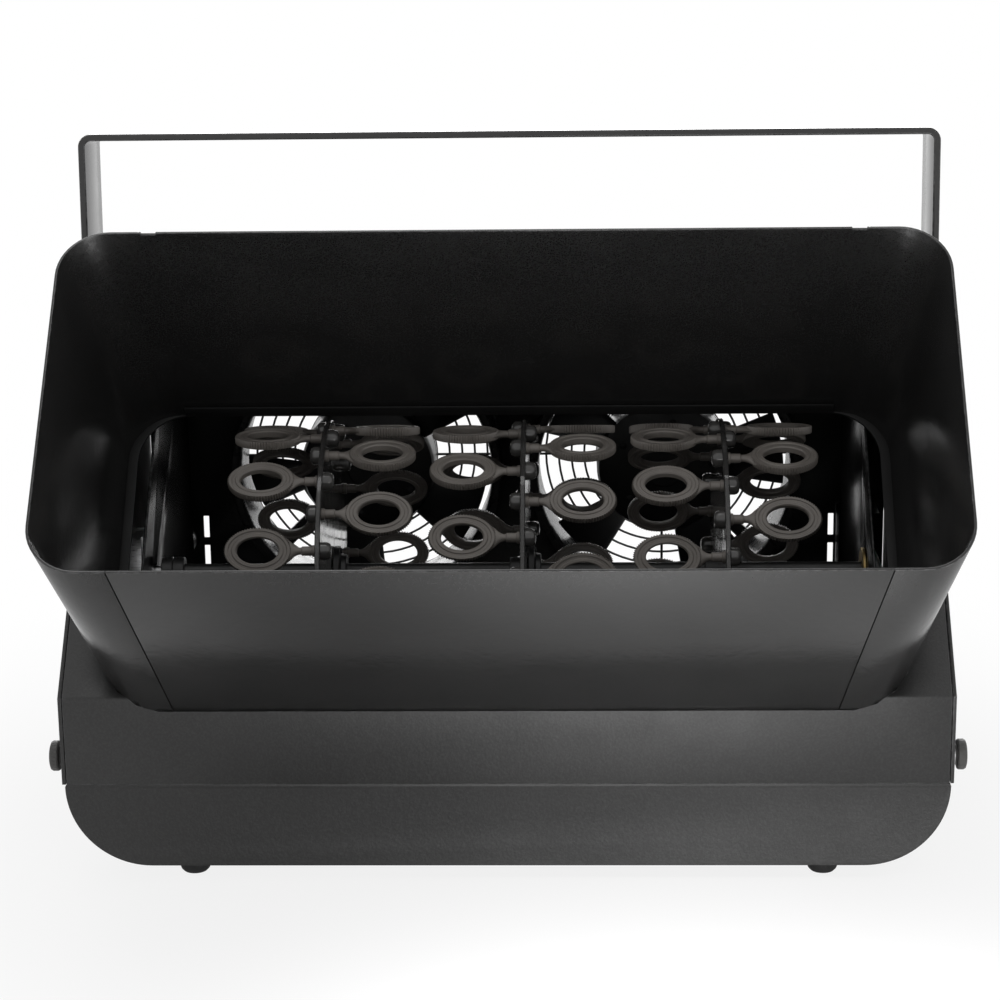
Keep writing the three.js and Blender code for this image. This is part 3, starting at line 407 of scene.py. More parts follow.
# %% [markdown]
# Every piece ends in the same way: its mesh goes to its place, gets its finish, rides on its
# body and stands for its solid. Round faces are shaded smooth and real corners stay sharp.

# %% Helpers that finish a piece
def finish_piece(name, bm, place, node, slot, *finishes, crease=30):
    """Turns a bmesh, in millimetres, into a piece that stands for one CAD node."""
    bmesh.ops.transform(bm, matrix=place, verts=bm.verts[:])
    data = bpy.data.meshes.new(name)
    bm.to_mesh(data)
    bm.free()
    for finish in finishes:
        data.materials.append(finish)
    data.shade_smooth()
    data.set_sharp_from_angle(angle=math.radians(crease))
    piece = bpy.data.objects.new(name, data)
    scene_objects.link(piece)
    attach(piece, body_of[node])
    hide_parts(node)
    return piece


def rounded(bm, geom, width, segments, affect="EDGES"):
    """Bevels edges, or the corners of an outline, to an even round."""
    return bmesh.ops.bevel(bm, geom=geom, offset=width, offset_type="OFFSET", segments=segments,
                           profile=0.5, affect=affect, clamp_overlap=True, material=-1)


def soften(bm, width, segments=2, corner=40, leave=None):
    """Rounds every edge sharper than a corner, and marks the new faces as worn edges."""
    worn = bm.faces.layers.float.get("edge_wear") or bm.faces.layers.float.new("edge_wear")
    limit = math.radians(corner)
    sharp = [e for e in bm.edges if len(e.link_faces) == 2 and e.calc_face_angle(0) > limit]
    if leave:
        sharp = [e for e in sharp if not leave(e)]
    for face in rounded(bm, sharp, width, segments)["faces"]:
        face[worn] = 1.0


def dressed(node, slot, finish, width=0.35, corner=40):
    """A copy of a solid whose shape is already right, with its edges rounded."""
    bm = bmesh.new()
    bm.from_mesh(frame["nodes"][node].data)
    bmesh.ops.transform(bm, matrix=machine.inverted(), verts=bm.verts[:])
    bmesh.ops.remove_doubles(bm, verts=bm.verts[:], dist=0.002)
    bmesh.ops.dissolve_limit(bm, angle_limit=math.radians(0.5), verts=bm.verts[:],
                             edges=bm.edges[:])
    soften(bm, width, 2, corner)
    return finish_piece(node + "_skin", bm, machine, node, slot, finish)


def block(bm, low, high):
    """A box between two corners."""
    made = bmesh.ops.create_cube(bm, size=1)["verts"]
    low, high = Vector(low), Vector(high)
    bmesh.ops.scale(bm, vec=high - low, verts=made)
    bmesh.ops.translate(bm, vec=(low + high) / 2, verts=made)
    return made


def turned(bm, profile, segments=48, place=Matrix()):
    """Spins a profile of (radius, height) points round the Z axis, then places it."""
    before = set(bm.verts)
    points = [bm.verts.new((radius, 0, height)) for radius, height in profile]
    edges = [bm.edges.new(pair) for pair in zip(points, points[1:])]
    bmesh.ops.spin(bm, geom=points + edges, cent=(0, 0, 0), axis=(0, 0, 1), angle=math.tau,
                   steps=segments, use_merge=True)
    bmesh.ops.remove_doubles(bm, verts=[v for v in bm.verts if v not in before], dist=0.0005)
    whole = [v for v in bm.verts if v not in before]
    bmesh.ops.transform(bm, matrix=place, verts=whole)
    return whole


def outward(bm):
    """Turns all faces outwards, once the doubles are merged."""
    bmesh.ops.recalc_face_normals(bm, faces=bm.faces[:])
    return bm


def thicken(bm, thickness):
    """Gives an open shell its thickness on the inner side of its faces."""
    bmesh.ops.solidify(bm, geom=bm.faces[:], thickness=thickness)


def rod(bm, radius, depth, segments, place):
    """A cylinder with closed ends, along the Z axis of its place."""
    return bmesh.ops.create_cone(bm, cap_ends=True, segments=segments, radius1=radius,
                                 radius2=radius, depth=depth, matrix=place)["verts"]


def carve(bm, *cutters):
    """Cuts solids out of a solid and gives back the rest."""
    work = []
    for shape in (bm, *cutters):
        data = bpy.data.meshes.new("work")
        shape.to_mesh(data)
        shape.free()
        work.append(bpy.data.objects.new("work", data))
        scene_objects.link(work[-1])
    for cutter in work[1:]:
        cut = work[0].modifiers.new("cut", "BOOLEAN")
        cut.object, cut.operation, cut.solver = cutter, "DIFFERENCE", "EXACT"
    graph = bpy.context.evaluated_depsgraph_get()
    rest = bmesh.new()
    rest.from_mesh(work[0].evaluated_get(graph).to_mesh())
    for piece in work:
        bpy.data.objects.remove(piece)
    return rest


# %% [markdown]
# The base pan is one sheet, pressed or rolled to large round lower corners, with flat plates
# welded into both ends. A box with two heavily bevelled edges gives that form. Its lid is taken
# off, the shell gets its thickness, and the end plates are set back a little, which leaves the
# thin rim that catches the light round the front. A tab at each side takes a thumbscrew.

# %% Base pan
sheet, body_depth = 1.5, 330
pan_half_width, pan_floor, pan_top, pan_corner = 241, 10, 56.5, 46
pan = bmesh.new()
block(pan, (-pan_half_width, 0, pan_floor), (pan_half_width, body_depth, pan_top))
low_edges = [e for e in pan.edges if all(v.co.z < pan_floor + 1 for v in e.verts)
             and abs((e.verts[0].co - e.verts[1].co).y) > 1]
rounded(pan, low_edges, pan_corner, 24)
ends = [f for f in pan.faces if abs(f.normal.y) > 0.9]
for end in ends:
    bmesh.ops.inset_region(pan, faces=[end], thickness=sheet, depth=-0.5, use_even_offset=True)
lid = [f for f in pan.faces if f.normal.z > 0.9 and f.calc_center_median().z > pan_top - 0.5]
bmesh.ops.delete(pan, geom=lid, context="FACES")
thicken(pan, sheet)
tab_face, tab_front, tab_back, tab_low, tab_high = 240.2, 1.8, 23, 49, 80
for side in sides.values():
    across = sorted((side * tab_face, side * (tab_face - sheet)))
    block(pan, (across[0], tab_front, tab_low), (across[1], tab_back, tab_high))
pan_middle = Vector((0, body_depth / 2, 35))


def on_lip(edge):
    """True for the top edge on the outer side of the pan's wall."""
    if len(edge.link_faces) != 2 or any(abs(v.co.z - pan_top) > 0.1 for v in edge.verts):
        return False
    walls = [f for f in edge.link_faces if f.normal.z < 0.5]
    faces_out = any(f.normal.dot(f.calc_center_median() - pan_middle) > 0 for f in walls)
    return faces_out and any(f.normal.z > 0.5 for f in edge.link_faces)


lip = [e for e in pan.edges if on_lip(e)]
rounded(pan, lip, 1.2, 5)
soften(pan, 0.35, 2, 50)
print("edges of the rounded lip:", len(lip))
base_pan = finish_piece("base_pan_skin", pan, machine, "base_pan", "powder_coat", powder_coat)
print("base pan faces:", len(base_pan.data.polygons))

# %% [markdown]
# The cover, its side panels and the rear panel are flat sheets with cut-outs. Their solids have
# the right shape, so each is copied, cleaned and given slightly rounded edges. A rounded edge
# is what makes sheet metal look real: it draws one light line along every corner.

# %% Cover and panels
for node in ("cover_shell", "side_panel_left", "side_panel_right", "rear_panel"):
    dressed(node, "powder_coat", powder_coat, 0.4)
for node in ("inner_wall_left", "inner_wall_right"):
    dressed(node, "powder_coat", liner_coat, 0.65)
print("panels dressed")

# %% [markdown]
# The hood flares from a rounded throat to a rounded mouth. Each outline is a rectangle whose
# corners are bevelled round, and the skin is bridged between the two. It is made of four
# sheets, so the skin is divided by planes along the seams, a hair's breadth apart, and each
# sheet gets its own thickness and its own rounded edges.

# %% Hood outlines
def round_corners(bm, half_width, low, high, radius, height, segments=12):
    """A closed outline of edges: a rectangle with round corners at one height."""
    corners = [(half_width, low), (half_width, high), (-half_width, high), (-half_width, low)]
    points = [bm.verts.new((x, y, height)) for x, y in corners]
    face = bm.faces.new(points)
    before = {v for v in bm.verts if v not in points}
    rounded(bm, points + list(face.edges), radius, segments, "VERTICES")
    fresh = [v for v in bm.verts if v not in before]
    ring = [e for e in bm.edges if all(v in fresh for v in e.verts)]
    bmesh.ops.delete(bm, geom=[f for f in bm.faces if f.verts[0] in fresh], context="FACES_ONLY")
    return ring


hood_depth, hood_root = 130.0, 8.0
half_widths, lows, highs, corner_radii = (217.5, 237.7), (-2.9, 8.5), (183.4, 214.6), (29, 26)


def at_height(throat_and_mouth, height):
    throat, mouth = throat_and_mouth
    return throat + (mouth - throat) * (height / hood_depth)


def hood_outline(bm, height, grow):
    """The hood's inner outline at a height above the slope, grown by some millimetres."""
    return round_corners(bm, at_height(half_widths, height) + grow, at_height(lows, height) - grow,
                         at_height(highs, height) + grow, at_height(corner_radii, height) + grow,
                         height)


def hood_skin(grow=0.0):
    bm = bmesh.new()
    rings = hood_outline(bm, -hood_root, grow) + hood_outline(bm, hood_depth, grow)
    bmesh.ops.bridge_loops(bm, edges=rings)
    return outward(bm)


# %% Hood sheets
seam_gap = 0.02
middle = 112.0
throat_seam, mouth_seam = 180.0, 196.5
root_point, root_normal = (0, -4.4, -hood_root), (0, 3.6, -189.3)
notch_near, notch_far, notch_height = 187.2, 195, 129.2


def trim(bm, point, normal):
    """Takes away what lies on the side that the normal points to."""
    bmesh.ops.bisect_plane(bm, geom=bm.verts[:] + bm.edges[:] + bm.faces[:], plane_co=point,
                           plane_no=normal, clear_outer=True)


def hood_sheet(name, finish, keep):
    bm = hood_skin(sheet)
    lean = Vector((hood_depth, 0, throat_seam - mouth_seam)).normalized()
    if keep in ("lower", "upper"):
        for side in (-1, 1):
            normal = Vector((lean.x * side, 0, lean.z))
            trim(bm, (side * (throat_seam - seam_gap), 0, 0), normal)
        trim(bm, (0, middle, 0), (0, 1 if keep == "lower" else -1, 0))
    else:
        side = sides[keep]
        trim(bm, (side * (throat_seam + seam_gap), 0, 0), -Vector((lean.x * side, 0, lean.z)))
    trim(bm, root_point, (0, 0, -1) if keep == "lower" else root_normal)
    thicken(bm, sheet)
    if keep == "upper":
        notches = bmesh.new()
        for side in (-1, 1):
            across = sorted((side * notch_near, side * notch_far))
            block(notches, (across[0], 205, notch_height), (across[1], 225, notch_height + 4.8))
        bm = carve(bm, notches)
    from_seam = lambda point: abs(point.x) * lean.x + point.z * lean.z - throat_seam * lean.x

    def inner_seam(edge):
        """True for a seam's edge on the inside of the hood, which stays sharp."""
        ends = [v.co for v in edge.verts]
        if any(abs(from_seam(end)) > 0.1 for end in ends) or abs(ends[0].z - ends[1].z) < 9:
            return False
        centre = (ends[0] + ends[1]) / 2
        outer = (at_height(highs, centre.z) + sheet if ends[0].y > middle
                 else at_height(lows, centre.z) - sheet)
        return abs(centre.y - middle) < abs(outer - middle) - sheet / 2

    soften(bm, 0.35, 2, leave=inner_seam)
    # The rounded faces along the outer seams lose their wear and get the seam_shadow black:
    # painted shade of the gap.
    worn = bm.faces.layers.float["edge_wear"]
    for face in bm.faces:
        point = face.calc_center_median()
        off = from_seam(point)
        if face[worn] > 0.5 and abs(off) < 0.6 and point.z < hood_depth - 0.8:
            face[worn] = 0.0
            face.material_index = 1
    node = f"hood_{keep}_panel" if keep in ("lower", "upper") else f"hood_{keep}_cheek"
    return finish_piece(name, bm, slope, node, "powder_coat", finish, seam_shadow, crease=25)


for keep in ("lower", "upper", "left", "right"):
    sheet_piece = hood_sheet(f"hood_{keep}_sheet", hood_coat_painted_light, keep)
    print(sheet_piece.name, len(sheet_piece.data.polygons))

# %% [markdown]
# Under the hood's root lies the throat frame, an angle ring that the hood stands on. Its
# flange is bridged between two outlines, and its wall between two more, and both are cut off
# where the cover's front face is in the way. A thin collar stands along its upper edge, which
# draws the light line between the hood's upper sheet and the throat.

# %% Throat frame
frame_gap, frame_sheet, flange_height, wall_low, wall_high = 3.4, 1.6, -8.3, -9.9, -1.8
frame_lift, lift_reach = 4.6, 184
on_machine = machine.inverted() @ slope
flange = bmesh.new()
outer_ring = hood_outline(flange, flange_height, frame_gap)
inner_ring = round_corners(flange, 211.5, 4.1, 182.6, 29, flange_height)
bmesh.ops.bridge_loops(flange, edges=outer_ring + inner_ring)
wall_rings = hood_outline(flange, wall_low, frame_gap) + hood_outline(flange, wall_high, frame_gap)
bmesh.ops.bridge_loops(flange, edges=wall_rings)
bmesh.ops.remove_doubles(flange, verts=flange.verts[:], dist=0.01)
for vert in flange.verts:
    vert.co.z += frame_lift * (vert.co.y / lift_reach) ** 2
bmesh.ops.transform(flange, matrix=on_machine, verts=flange.verts[:])
trim(flange, (0, 1.9, 0), (0, -1, 0))
outward(flange)
thicken(flange, frame_sheet)
sheet_verts = set(flange.verts)
block(flange, (-186, 182.2, -4.4), (186, 183.0, 4.2))
collar = [vert for vert in flange.verts if vert not in sheet_verts]
bmesh.ops.transform(flange, matrix=on_machine, verts=collar)
soften(flange, 0.3, 2)
finish_piece("throat_frame_skin", flange, machine, "throat_frame", "powder_coat", frame_coat)

# %% [markdown]
# The yoke is a flat bar, 50 by 4 mm, bent twice. It starts as one edge across the bar at the
# top of a leg: extruding it draws the flat stretches, and spinning it round the bend's middle
# draws the bends. The ends are rounded like the real ones, by bevelling their two corners.

# %% Yoke
bar_width, bar_thickness, bar_top, bar_side, bend = 50.0, 4.0, 238.5, 249.5, 7.5
hang_hole, hang_places, pivot_hole = 5, (-89, 89), 4.5
yoke_bar = bmesh.new()


def sweep(bm, edges, move):
    """Draws edges straight on and gives back the new ones."""
    made = bmesh.ops.extrude_edge_only(bm, edges=edges)["geom"]
    bmesh.ops.translate(bm, vec=move, verts=[g for g in made if isinstance(g, bmesh.types.BMVert)])
    return [g for g in made if isinstance(g, bmesh.types.BMEdge)]


def bend_edge(bm, edges, centre, degrees, steps=8):
    """Draws edges round a bend and gives back the new ones."""
    made = bmesh.ops.spin(bm, geom=edges, cent=centre, axis=(0, 1, 0),
                          angle=math.radians(degrees), steps=steps)
    return [g for g in made["geom_last"] if isinstance(g, bmesh.types.BMEdge)]


half = bar_width / 2
start = [yoke_bar.verts.new((-bar_side, y, -half)) for y in (-half, half)]
edge = [yoke_bar.edges.new(start)]
edge = sweep(yoke_bar, edge, (0, 0, bar_top - bend + half))
edge = bend_edge(yoke_bar, edge, (-bar_side + bend, 0, bar_top - bend), 90)
edge = sweep(yoke_bar, edge, (2 * (bar_side - bend), 0, 0))
edge = bend_edge(yoke_bar, edge, (bar_side - bend, 0, bar_top - bend), 90)
edge = sweep(yoke_bar, edge, (0, 0, -(bar_top - bend + half)))
bmesh.ops.remove_doubles(yoke_bar, verts=yoke_bar.verts[:], dist=0.01)
tips = [v for v in yoke_bar.verts if v.co.z < 1 - half]
rounded(yoke_bar, tips, half - 0.05, 16, "VERTICES")
outward(yoke_bar)
first_face = yoke_bar.faces[:][0]
if first_face.calc_center_median().x * first_face.normal.x < 0:
    bmesh.ops.reverse_faces(yoke_bar, faces=yoke_bar.faces[:])
thicken(yoke_bar, bar_thickness)
holes = bmesh.new()
for x in hang_places:
    rod(holes, hang_hole, 20, 40, moved(x, 0, bar_top))
rod(holes, pivot_hole, 600, 32, along_x)
yoke_bar = carve(yoke_bar, holes)
soften(yoke_bar, 0.7, 3)
yoke_piece = finish_piece("yoke_bar_skin", yoke_bar, yoke, "yoke_bar", "powder_coat", yoke_coat)
yoke_top = max(v.co.z for v in yoke_piece.data.vertices)
print("yoke faces:", len(yoke_piece.data.polygons), "top:", round(yoke_top, 4))

# %% [markdown]
# Knobs, thumbscrews and feet are turned or moulded round. Spinning a profile gives each of
# them with its soft corners. The yoke's knobs get finger grooves: cylinders are carved out of
# the rim at even steps, as on the real moulding.

# %% Knobs, thumbscrews and feet
def ring_of_rods(count, radius, circle, depth, segments, height):
    """Cutters at even steps round a knob, which leave its grooves."""
    bm = bmesh.new()
    for step in range(count):
        angle = math.tau * step / count
        rod(bm, radius, depth, segments,
            Matrix.Translation((circle * math.cos(angle), circle * math.sin(angle), height)))
    return bm


def lathe(profile, segments, place=Matrix()):
    """A new shape, turned from a profile."""
    bm = bmesh.new()
    turned(bm, profile, segments, place)
    return bm


knob_profile = [(0, 14), (9, 14), (10, 13.2), (12.5, 13), (16.2, 12.6), (17.6, 11), (18, 9),
                (18, 4), (17, 2.4), (10, 2), (9.4, 0), (0, 0)]
knob_stud = [(0, -10), (3.6, -10), (4, -9.6), (4, 0.5), (0, 0.5)]
washer_profile = [(4.6, 0.2), (14.6, 0.2), (15, 0.6), (15, 2), (14.6, 2.4), (4.6, 2.4),
                  (4.6, 0.2)]
screw_profile = [(0, 6), (6.4, 6), (7.8, 5.5), (8.4, 4.4), (8.4, 1.8), (7.9, 1), (5.4, 0.7),
                 (5.2, 0), (0, 0)]
screw_stud = [(0, -10), (2.1, -10), (2.5, -9.5), (2.5, 0.5), (0, 0.5)]
small_washer_profile = [(3, 0), (6.3, 0), (6.5, 0.2), (6.5, 0.8), (6.3, 1), (3, 1), (3, 0)]
foot_profile = [(0, 0), (5.2, 0), (6.6, 0.5), (7.9, 1.9), (8.7, 4), (9, 6.2), (9, 9.7), (0, 9.7)]
knob_seat, washer_seat, screw_seat, small_washer_seat = 249.8, 242.6, 244.1, 242.8
screw_y, screw_z, foot_x = 12, 70, 174
foot_places = {"front": 18, "rear": 312}

for name, side in sides.items():
    facing = rotation(90 * side, "Y")
    outside = moved(side * knob_seat, 0, 0) @ facing
    knob = lathe(knob_profile, 60)
    knob = carve(outward(knob), ring_of_rods(10, 3.2, 19.6, 40, 20, 8))
    soften(knob, 0.4, 2, 50)
    turned(knob, knob_stud, 24)
    finish_piece(f"yoke_knob_{name}_moulding", knob, yoke @ rotation(yoke_lean, "X") @ outside,
                 f"yoke_knob_{name}", "black_plastic", black_plastic)

    washer_place = (machine @ Matrix.Translation(yoke_pivot)
                    @ moved(side * washer_seat, 0, 0) @ facing)
    finish_piece(f"yoke_washer_{name}_ring", outward(lathe(washer_profile, 48)), washer_place,
                 f"yoke_washer_{name}", "rubber", rubber)

    screw = lathe(screw_profile, 48)
    screw = carve(outward(screw), ring_of_rods(24, 0.55, 8.75, 30, 8, 4))
    turned(screw, screw_stud, 20)
    screw_place = machine @ moved(side * screw_seat, screw_y, screw_z) @ facing
    finish_piece(f"cover_screw_{name}_head", screw, screw_place, f"cover_screw_{name}",
                 "black_plastic", knob_plastic)

    small_place = machine @ moved(side * small_washer_seat, screw_y, screw_z) @ facing
    finish_piece(f"cover_screw_washer_{name}_ring", outward(lathe(small_washer_profile, 36)),
                 small_place, f"cover_screw_washer_{name}", "steel", brushed_steel)

    for end, y in foot_places.items():
        finish_piece(f"foot_{end}_{name}_rubber", outward(lathe(foot_profile, 40)),
                     machine @ moved(side * foot_x, y, 0), f"foot_{end}_{name}",
                     "rubber", rubber)
print("turned pieces done")

# %% [markdown]
# Each wheel is a disc of smoked acrylic with wands on both of its faces. A wand is an oval ring
# with a toothed rim and a groove round its face, both of which hold the bubble fluid. It is
# lofted: ovals of different size and height are joined one after the other, and every second
# point of the outermost ovals is drawn inwards, which cuts the teeth.

# %% Lofting ovals
def loft(bm, ovals, segments, closed=False, teeth=0.0):
    """Extrudes one oval of (half length, half width, height, toothed or not) from the other."""
    layers = bm.verts.layers.int
    every_other = layers.get("every_other") or layers.new("every_other")
    verts = bmesh.ops.create_circle(bm, segments=segments, radius=1)["verts"]
    for vert in verts[::2]:
        vert[every_other] = 1
    first = edges = list({e for v in verts for e in v.link_edges})
    made, tooth_rows = list(verts), []
    last = (1, 1, 0)
    stations = ovals + ovals[:1] if closed else ovals
    for number, (length, width, height, toothed) in enumerate(stations):
        if number:
            grown = bmesh.ops.extrude_edge_only(bm, edges=edges)["geom"]
            verts = [g for g in grown if isinstance(g, bmesh.types.BMVert)]
            edges = [g for g in grown if isinstance(g, bmesh.types.BMEdge)]
            made += verts
        bmesh.ops.scale(bm, vec=(length / last[0], width / last[1], 1), verts=verts)
        bmesh.ops.translate(bm, vec=(0, 0, height - last[2]), verts=verts)
        last = (length, width, height)
        if toothed:
            row = [v for v in verts if v[every_other]]
            tooth_rows.append((row, (1 - teeth / length, 1 - teeth / width, 1)))
    for row, shrink in tooth_rows:
        bmesh.ops.scale(bm, vec=shrink, verts=row)
    if closed:
        bmesh.ops.remove_doubles(bm, verts=made, dist=0.001)
    else:
        bmesh.ops.holes_fill(bm, edges=first, sides=segments)
        bmesh.ops.holes_fill(bm, edges=edges, sides=segments)
    return [v for v in made if v.is_valid]


# %% One wand
ring_reach, ring_circle, ring_length, ring_width = 33.0, 80.5, 18.75, 13.0
rim_length, rim_width, tooth_depth = 7.2, 5.7, 0.8
rim_side = [(0.0, 1.55, True), (0.05, 2.05, True), (0.13, 2.25, False), (0.33, 2.25, False),
            (0.4, 1.75, False), (0.6, 1.75, False), (0.67, 2.25, False), (0.9, 2.25, False),
            (1.0, 1.6, False)]
stem_stations = [(3.3, 3.3, 1.5, False), (3.3, 3.3, 3.0, False), (2.6, 2.6, 3.3, False),
                 (2.6, 2.6, 8.6, False), (2.0, 2.0, 9.1, False), (2.0, 2.0, 10.4, False),
                 (2.0, 2.4, 11.6, False), (2.0, 3.4, 13.2, False), (1.9, 5.2, 15.0, False),
                 (1.7, 7.0, 17.4, False)]


def wand_ring(bm):
    wall = lambda share: (ring_length - rim_length * share, ring_width - rim_width * share)
    section = [(*wall(share), z, toothed) for share, z, toothed in rim_side]
    section += [(*wall(share), -z, toothed) for share, z, toothed in reversed(rim_side)]
    verts = loft(bm, section, 144, closed=True, teeth=tooth_depth)
    bmesh.ops.translate(bm, vec=(ring_reach, 0, ring_circle), verts=verts)


def wand_stem(bm):
    verts = loft(bm, stem_stations, 20)
    bmesh.ops.transform(bm, matrix=moved(0, 0, ring_circle) @ along_x, verts=verts)


one_wand = bmesh.new()
wand_ring(one_wand)
wand_stem(one_wand)
outward(one_wand)
print("faces of one wand:", len(one_wand.faces))

# %% Sets of wands
wheel_places = {"left": -102.2, "middle": 9.5, "right": 121.2}
wheel_turns = {"left": -9, "middle": -14, "right": -6}
wands_a_side = 12
wand_step = 360 / wands_a_side


def wand_set(wheel, side):
    bm = one_wand.copy()
    source = bm.verts[:] + bm.edges[:] + bm.faces[:]
    for index in range(1, wands_a_side):
        copied = bmesh.ops.duplicate(bm, geom=source)["geom"]
        verts = [g for g in copied if isinstance(g, bmesh.types.BMVert)]
        bmesh.ops.rotate(bm, cent=(0, 0, 0), matrix=rotation(index * wand_step, "X", 3),
                         verts=verts)
    flip = Matrix.Rotation(math.pi, 4, "Z") if side == "left" else Matrix()
    start = wheel_turns[wheel] + (wand_step / 2 if side == "left" else 0)
    place = (shaft @ moved(wheel_places[wheel], 0, 0) @ rotation(start, "X")
             @ flip)
    finish_piece(f"wands_{wheel}_{side}", bm, place, f"wands_{wheel}_wheel_{side}",
                 "wand_plastic", wand_plastic, crease=35)


for wheel in wheel_places:
    for side in sides:
        wand_set(wheel, side)
one_wand.free()
print("wand sets:", len(wheel_places) * len(sides))

# %% [markdown]
# The disc is a flat turned plate. The foot of every wand goes through it and ends in a clear
# cap on the other face, so each face shows twelve stems and twelve caps in turn. A hub with
# three rivets holds the plate on the shaft.

# %% Discs and hubs
cap_profile = [(0, 7.4), (2, 7.3), (3.6, 6.9), (4.6, 5.9), (5, 4.4), (5, 1.3), (0, 1.3)]
disc_profile = [(7.4, -1.5), (86, -1.5), (86.5, -1), (86.5, 1), (86, 1.5), (7.4, 1.5),
                (7.4, -1.5)]
hub_profile = [(4.3, -9), (6.6, -9), (7, -8.6), (7, 1.8), (13.6, 1.8), (14, 2.2), (14, 5),
               (11, 5.6), (9.6, 6.2), (9.2, 8.6), (8.8, 9), (4.3, 9), (4.3, -9)]
rivet_profile, rivet_circle = [(0, 6.4), (1.3, 6.3), (1.9, 5.7), (2, 5), (0, 5)], 11.6


def cap(bm, reach, angle):
    """A clear cap on the disc's face, at an angle round the shaft. Reach is the side it is on."""
    place = (rotation(angle, "X") @ moved(0, 0, ring_circle)
             @ rotation(90 * reach, "Y"))
    turned(bm, cap_profile, 20, place)


for wheel, x in wheel_places.items():
    disc = lathe(disc_profile, 96, along_x)
    plate_faces = len(disc.faces)
    for index in range(wands_a_side):
        angle = wheel_turns[wheel] + index * wand_step
        cap(disc, -1, angle)
        cap(disc, 1, angle + wand_step / 2)
    disc.faces.ensure_lookup_table()
    for face in disc.faces[plate_faces:]:
        face.material_index = 1
    finish_piece(f"wheel_disc_{wheel}_plate", outward(disc), shaft @ moved(x, 0, 0),
                 f"wheel_disc_{wheel}", "disc_plastic", smoked_acrylic, clear_boss)

    hub = lathe(hub_profile, 48, along_x)
    for index in range(3):
        place = rotation(120 * index, "X") @ moved(0, 0, rivet_circle) @ along_x
        turned(hub, rivet_profile, 16, place)
    finish_piece(f"wheel_hub_{wheel}_boss", outward(hub), shaft @ moved(x, 0, 0),
                 f"wheel_hub_{wheel}", "black_plastic", black_plastic)
print("discs and hubs:", len(wheel_places))

# %% [markdown]
# The shaft runs in a brass bush at the right and is driven through a coupler by a small gear
# motor at the left. Round pieces are spun from their outlines again. The coupler has two grub
# screws, and the motor a stepped case with a gearbox plate, as such motors have.

# %% Shaft, bush, coupler and motor
def on_shaft(name, profile, from_x, slot, finish, segments=32, extra=None):
    """A piece turned about the shaft's axis, from a place along it."""
    bm = lathe(profile, segments, along_x)
    if extra:
        extra(bm)
    finish_piece(name + "_turning", outward(bm), shaft @ moved(from_x, 0, 0),
                 name, slot, finish)


def grub_screws(bm):
    socket = [(0.9, 7.0), (1.6, 7.2), (1.6, 8.2), (0.9, 8.25), (0.9, 7.0)]
    for x in (-3.4, 3.4):
        turned(bm, socket, 12, moved(x, 0, 0))


def motor_fittings(bm):
    block(bm, (2, -9, -29), (9, 9, -22))
    for y in (-5, 5):
        block(bm, (4, y - 1, -33), (4.8, y + 1, -28))


shaft_length = 401.1
shaft_profile = [(0, 0), (3.5, 0), (4, 0.5), (4, shaft_length - 0.5), (3.5, shaft_length),
                 (0, shaft_length)]
motor_shaft_profile = [(0, 0), (3, 0), (3, 13.3), (2.6, 13.7), (0, 13.7)]
bush_profile = [(4.3, 0), (11.6, 0), (12, 0.4), (12, 1.6), (11.6, 2), (8, 2), (8, 4.6),
                (7.8, 4.8), (4.3, 4.8), (4.3, 0)]
coupler_profile = [(4.3, -6.5), (7.6, -6.5), (8, -6.1), (8, -0.4), (7.7, 0), (8, 0.4),
                   (8, 6.1), (7.6, 6.5), (4.3, 6.5), (4.3, 0.1), (3.3, 0.1), (3.3, -6.5),
                   (4.3, -6.5)]
motor_profile = [(0, 0), (22, 0), (24.4, 0.6), (25, 1.6), (25, 12.4), (24.4, 13), (24.4, 13.6),
                 (25, 14), (25, 20.4), (24.6, 21), (0, 21)]
on_shaft("wheel_shaft", shaft_profile, -193.3, "steel", blackened_steel)
on_shaft("motor_shaft", motor_shaft_profile, -207.3, "steel", brushed_steel, 24)
on_shaft("shaft_bush", bush_profile, 201.7, "brass", turned_brass, 40)
on_shaft("shaft_coupler", coupler_profile, -193.45, "steel", blackened_steel, 40, grub_screws)
on_shaft("drive_motor", motor_profile, -228.6, "steel", brushed_steel, 64, motor_fittings)
dressed("motor_bracket", "steel", brushed_steel, 0.25)
print("shaft group done")

# %% [markdown]
# The two fans are round axial fans with a cast frame. A blade of such a fan is a piece of a
# screw surface: spinning a radial edge round the axle while it moves along the axle draws
# exactly that, and spin does both at once. The drum in the middle hides the motor.

# %% Fan frames
fan_casting = [(81.6, 277.2), (85.6, 277.2), (86, 277.6), (86, 281.6), (85.6, 282), (84, 282.4),
               (84, 323), (85.6, 323.4), (86, 323.8), (86, 327.8), (85.6, 328.2), (81.4, 328.2),
               (80.3, 326.6), (80, 323), (80, 284), (80.3, 280), (81.6, 277.2)]
motor_plate = [(0, 323.2), (42.4, 323.2), (43, 323.8), (43, 327.6), (42.4, 328.2), (0, 328.2)]
strut_count, strut_start = 4, 45


def fan_matrix(name):
    return machine @ moved(fan_middles[name], 0, fan_height)


def swing(bm, verts, degrees):
    """Turns a part of the fan round its axle."""
    bmesh.ops.rotate(bm, cent=(0, 0, 0), matrix=rotation(degrees, "Y", 3), verts=verts)


def fan_frame(name):
    bm = lathe(fan_casting, 96, along_y)
    turned(bm, motor_plate, 64, along_y)
    step = 360 / strut_count
    for index in range(strut_count):
        swing(bm, block(bm, (41, 323.4, -4), (81, 328, 4)), strut_start + step * index)
    for index in range(strut_count):
        swing(bm, block(bm, (83, 323.6, -9), (86, 328, 9)), step * index)
    soften(bm, 0.5, 2, 60)
    finish_piece(f"fan_{name}_casting", outward(bm), fan_matrix(name), f"fan_{name}_frame",
                 "cast_frame", cast_paint)


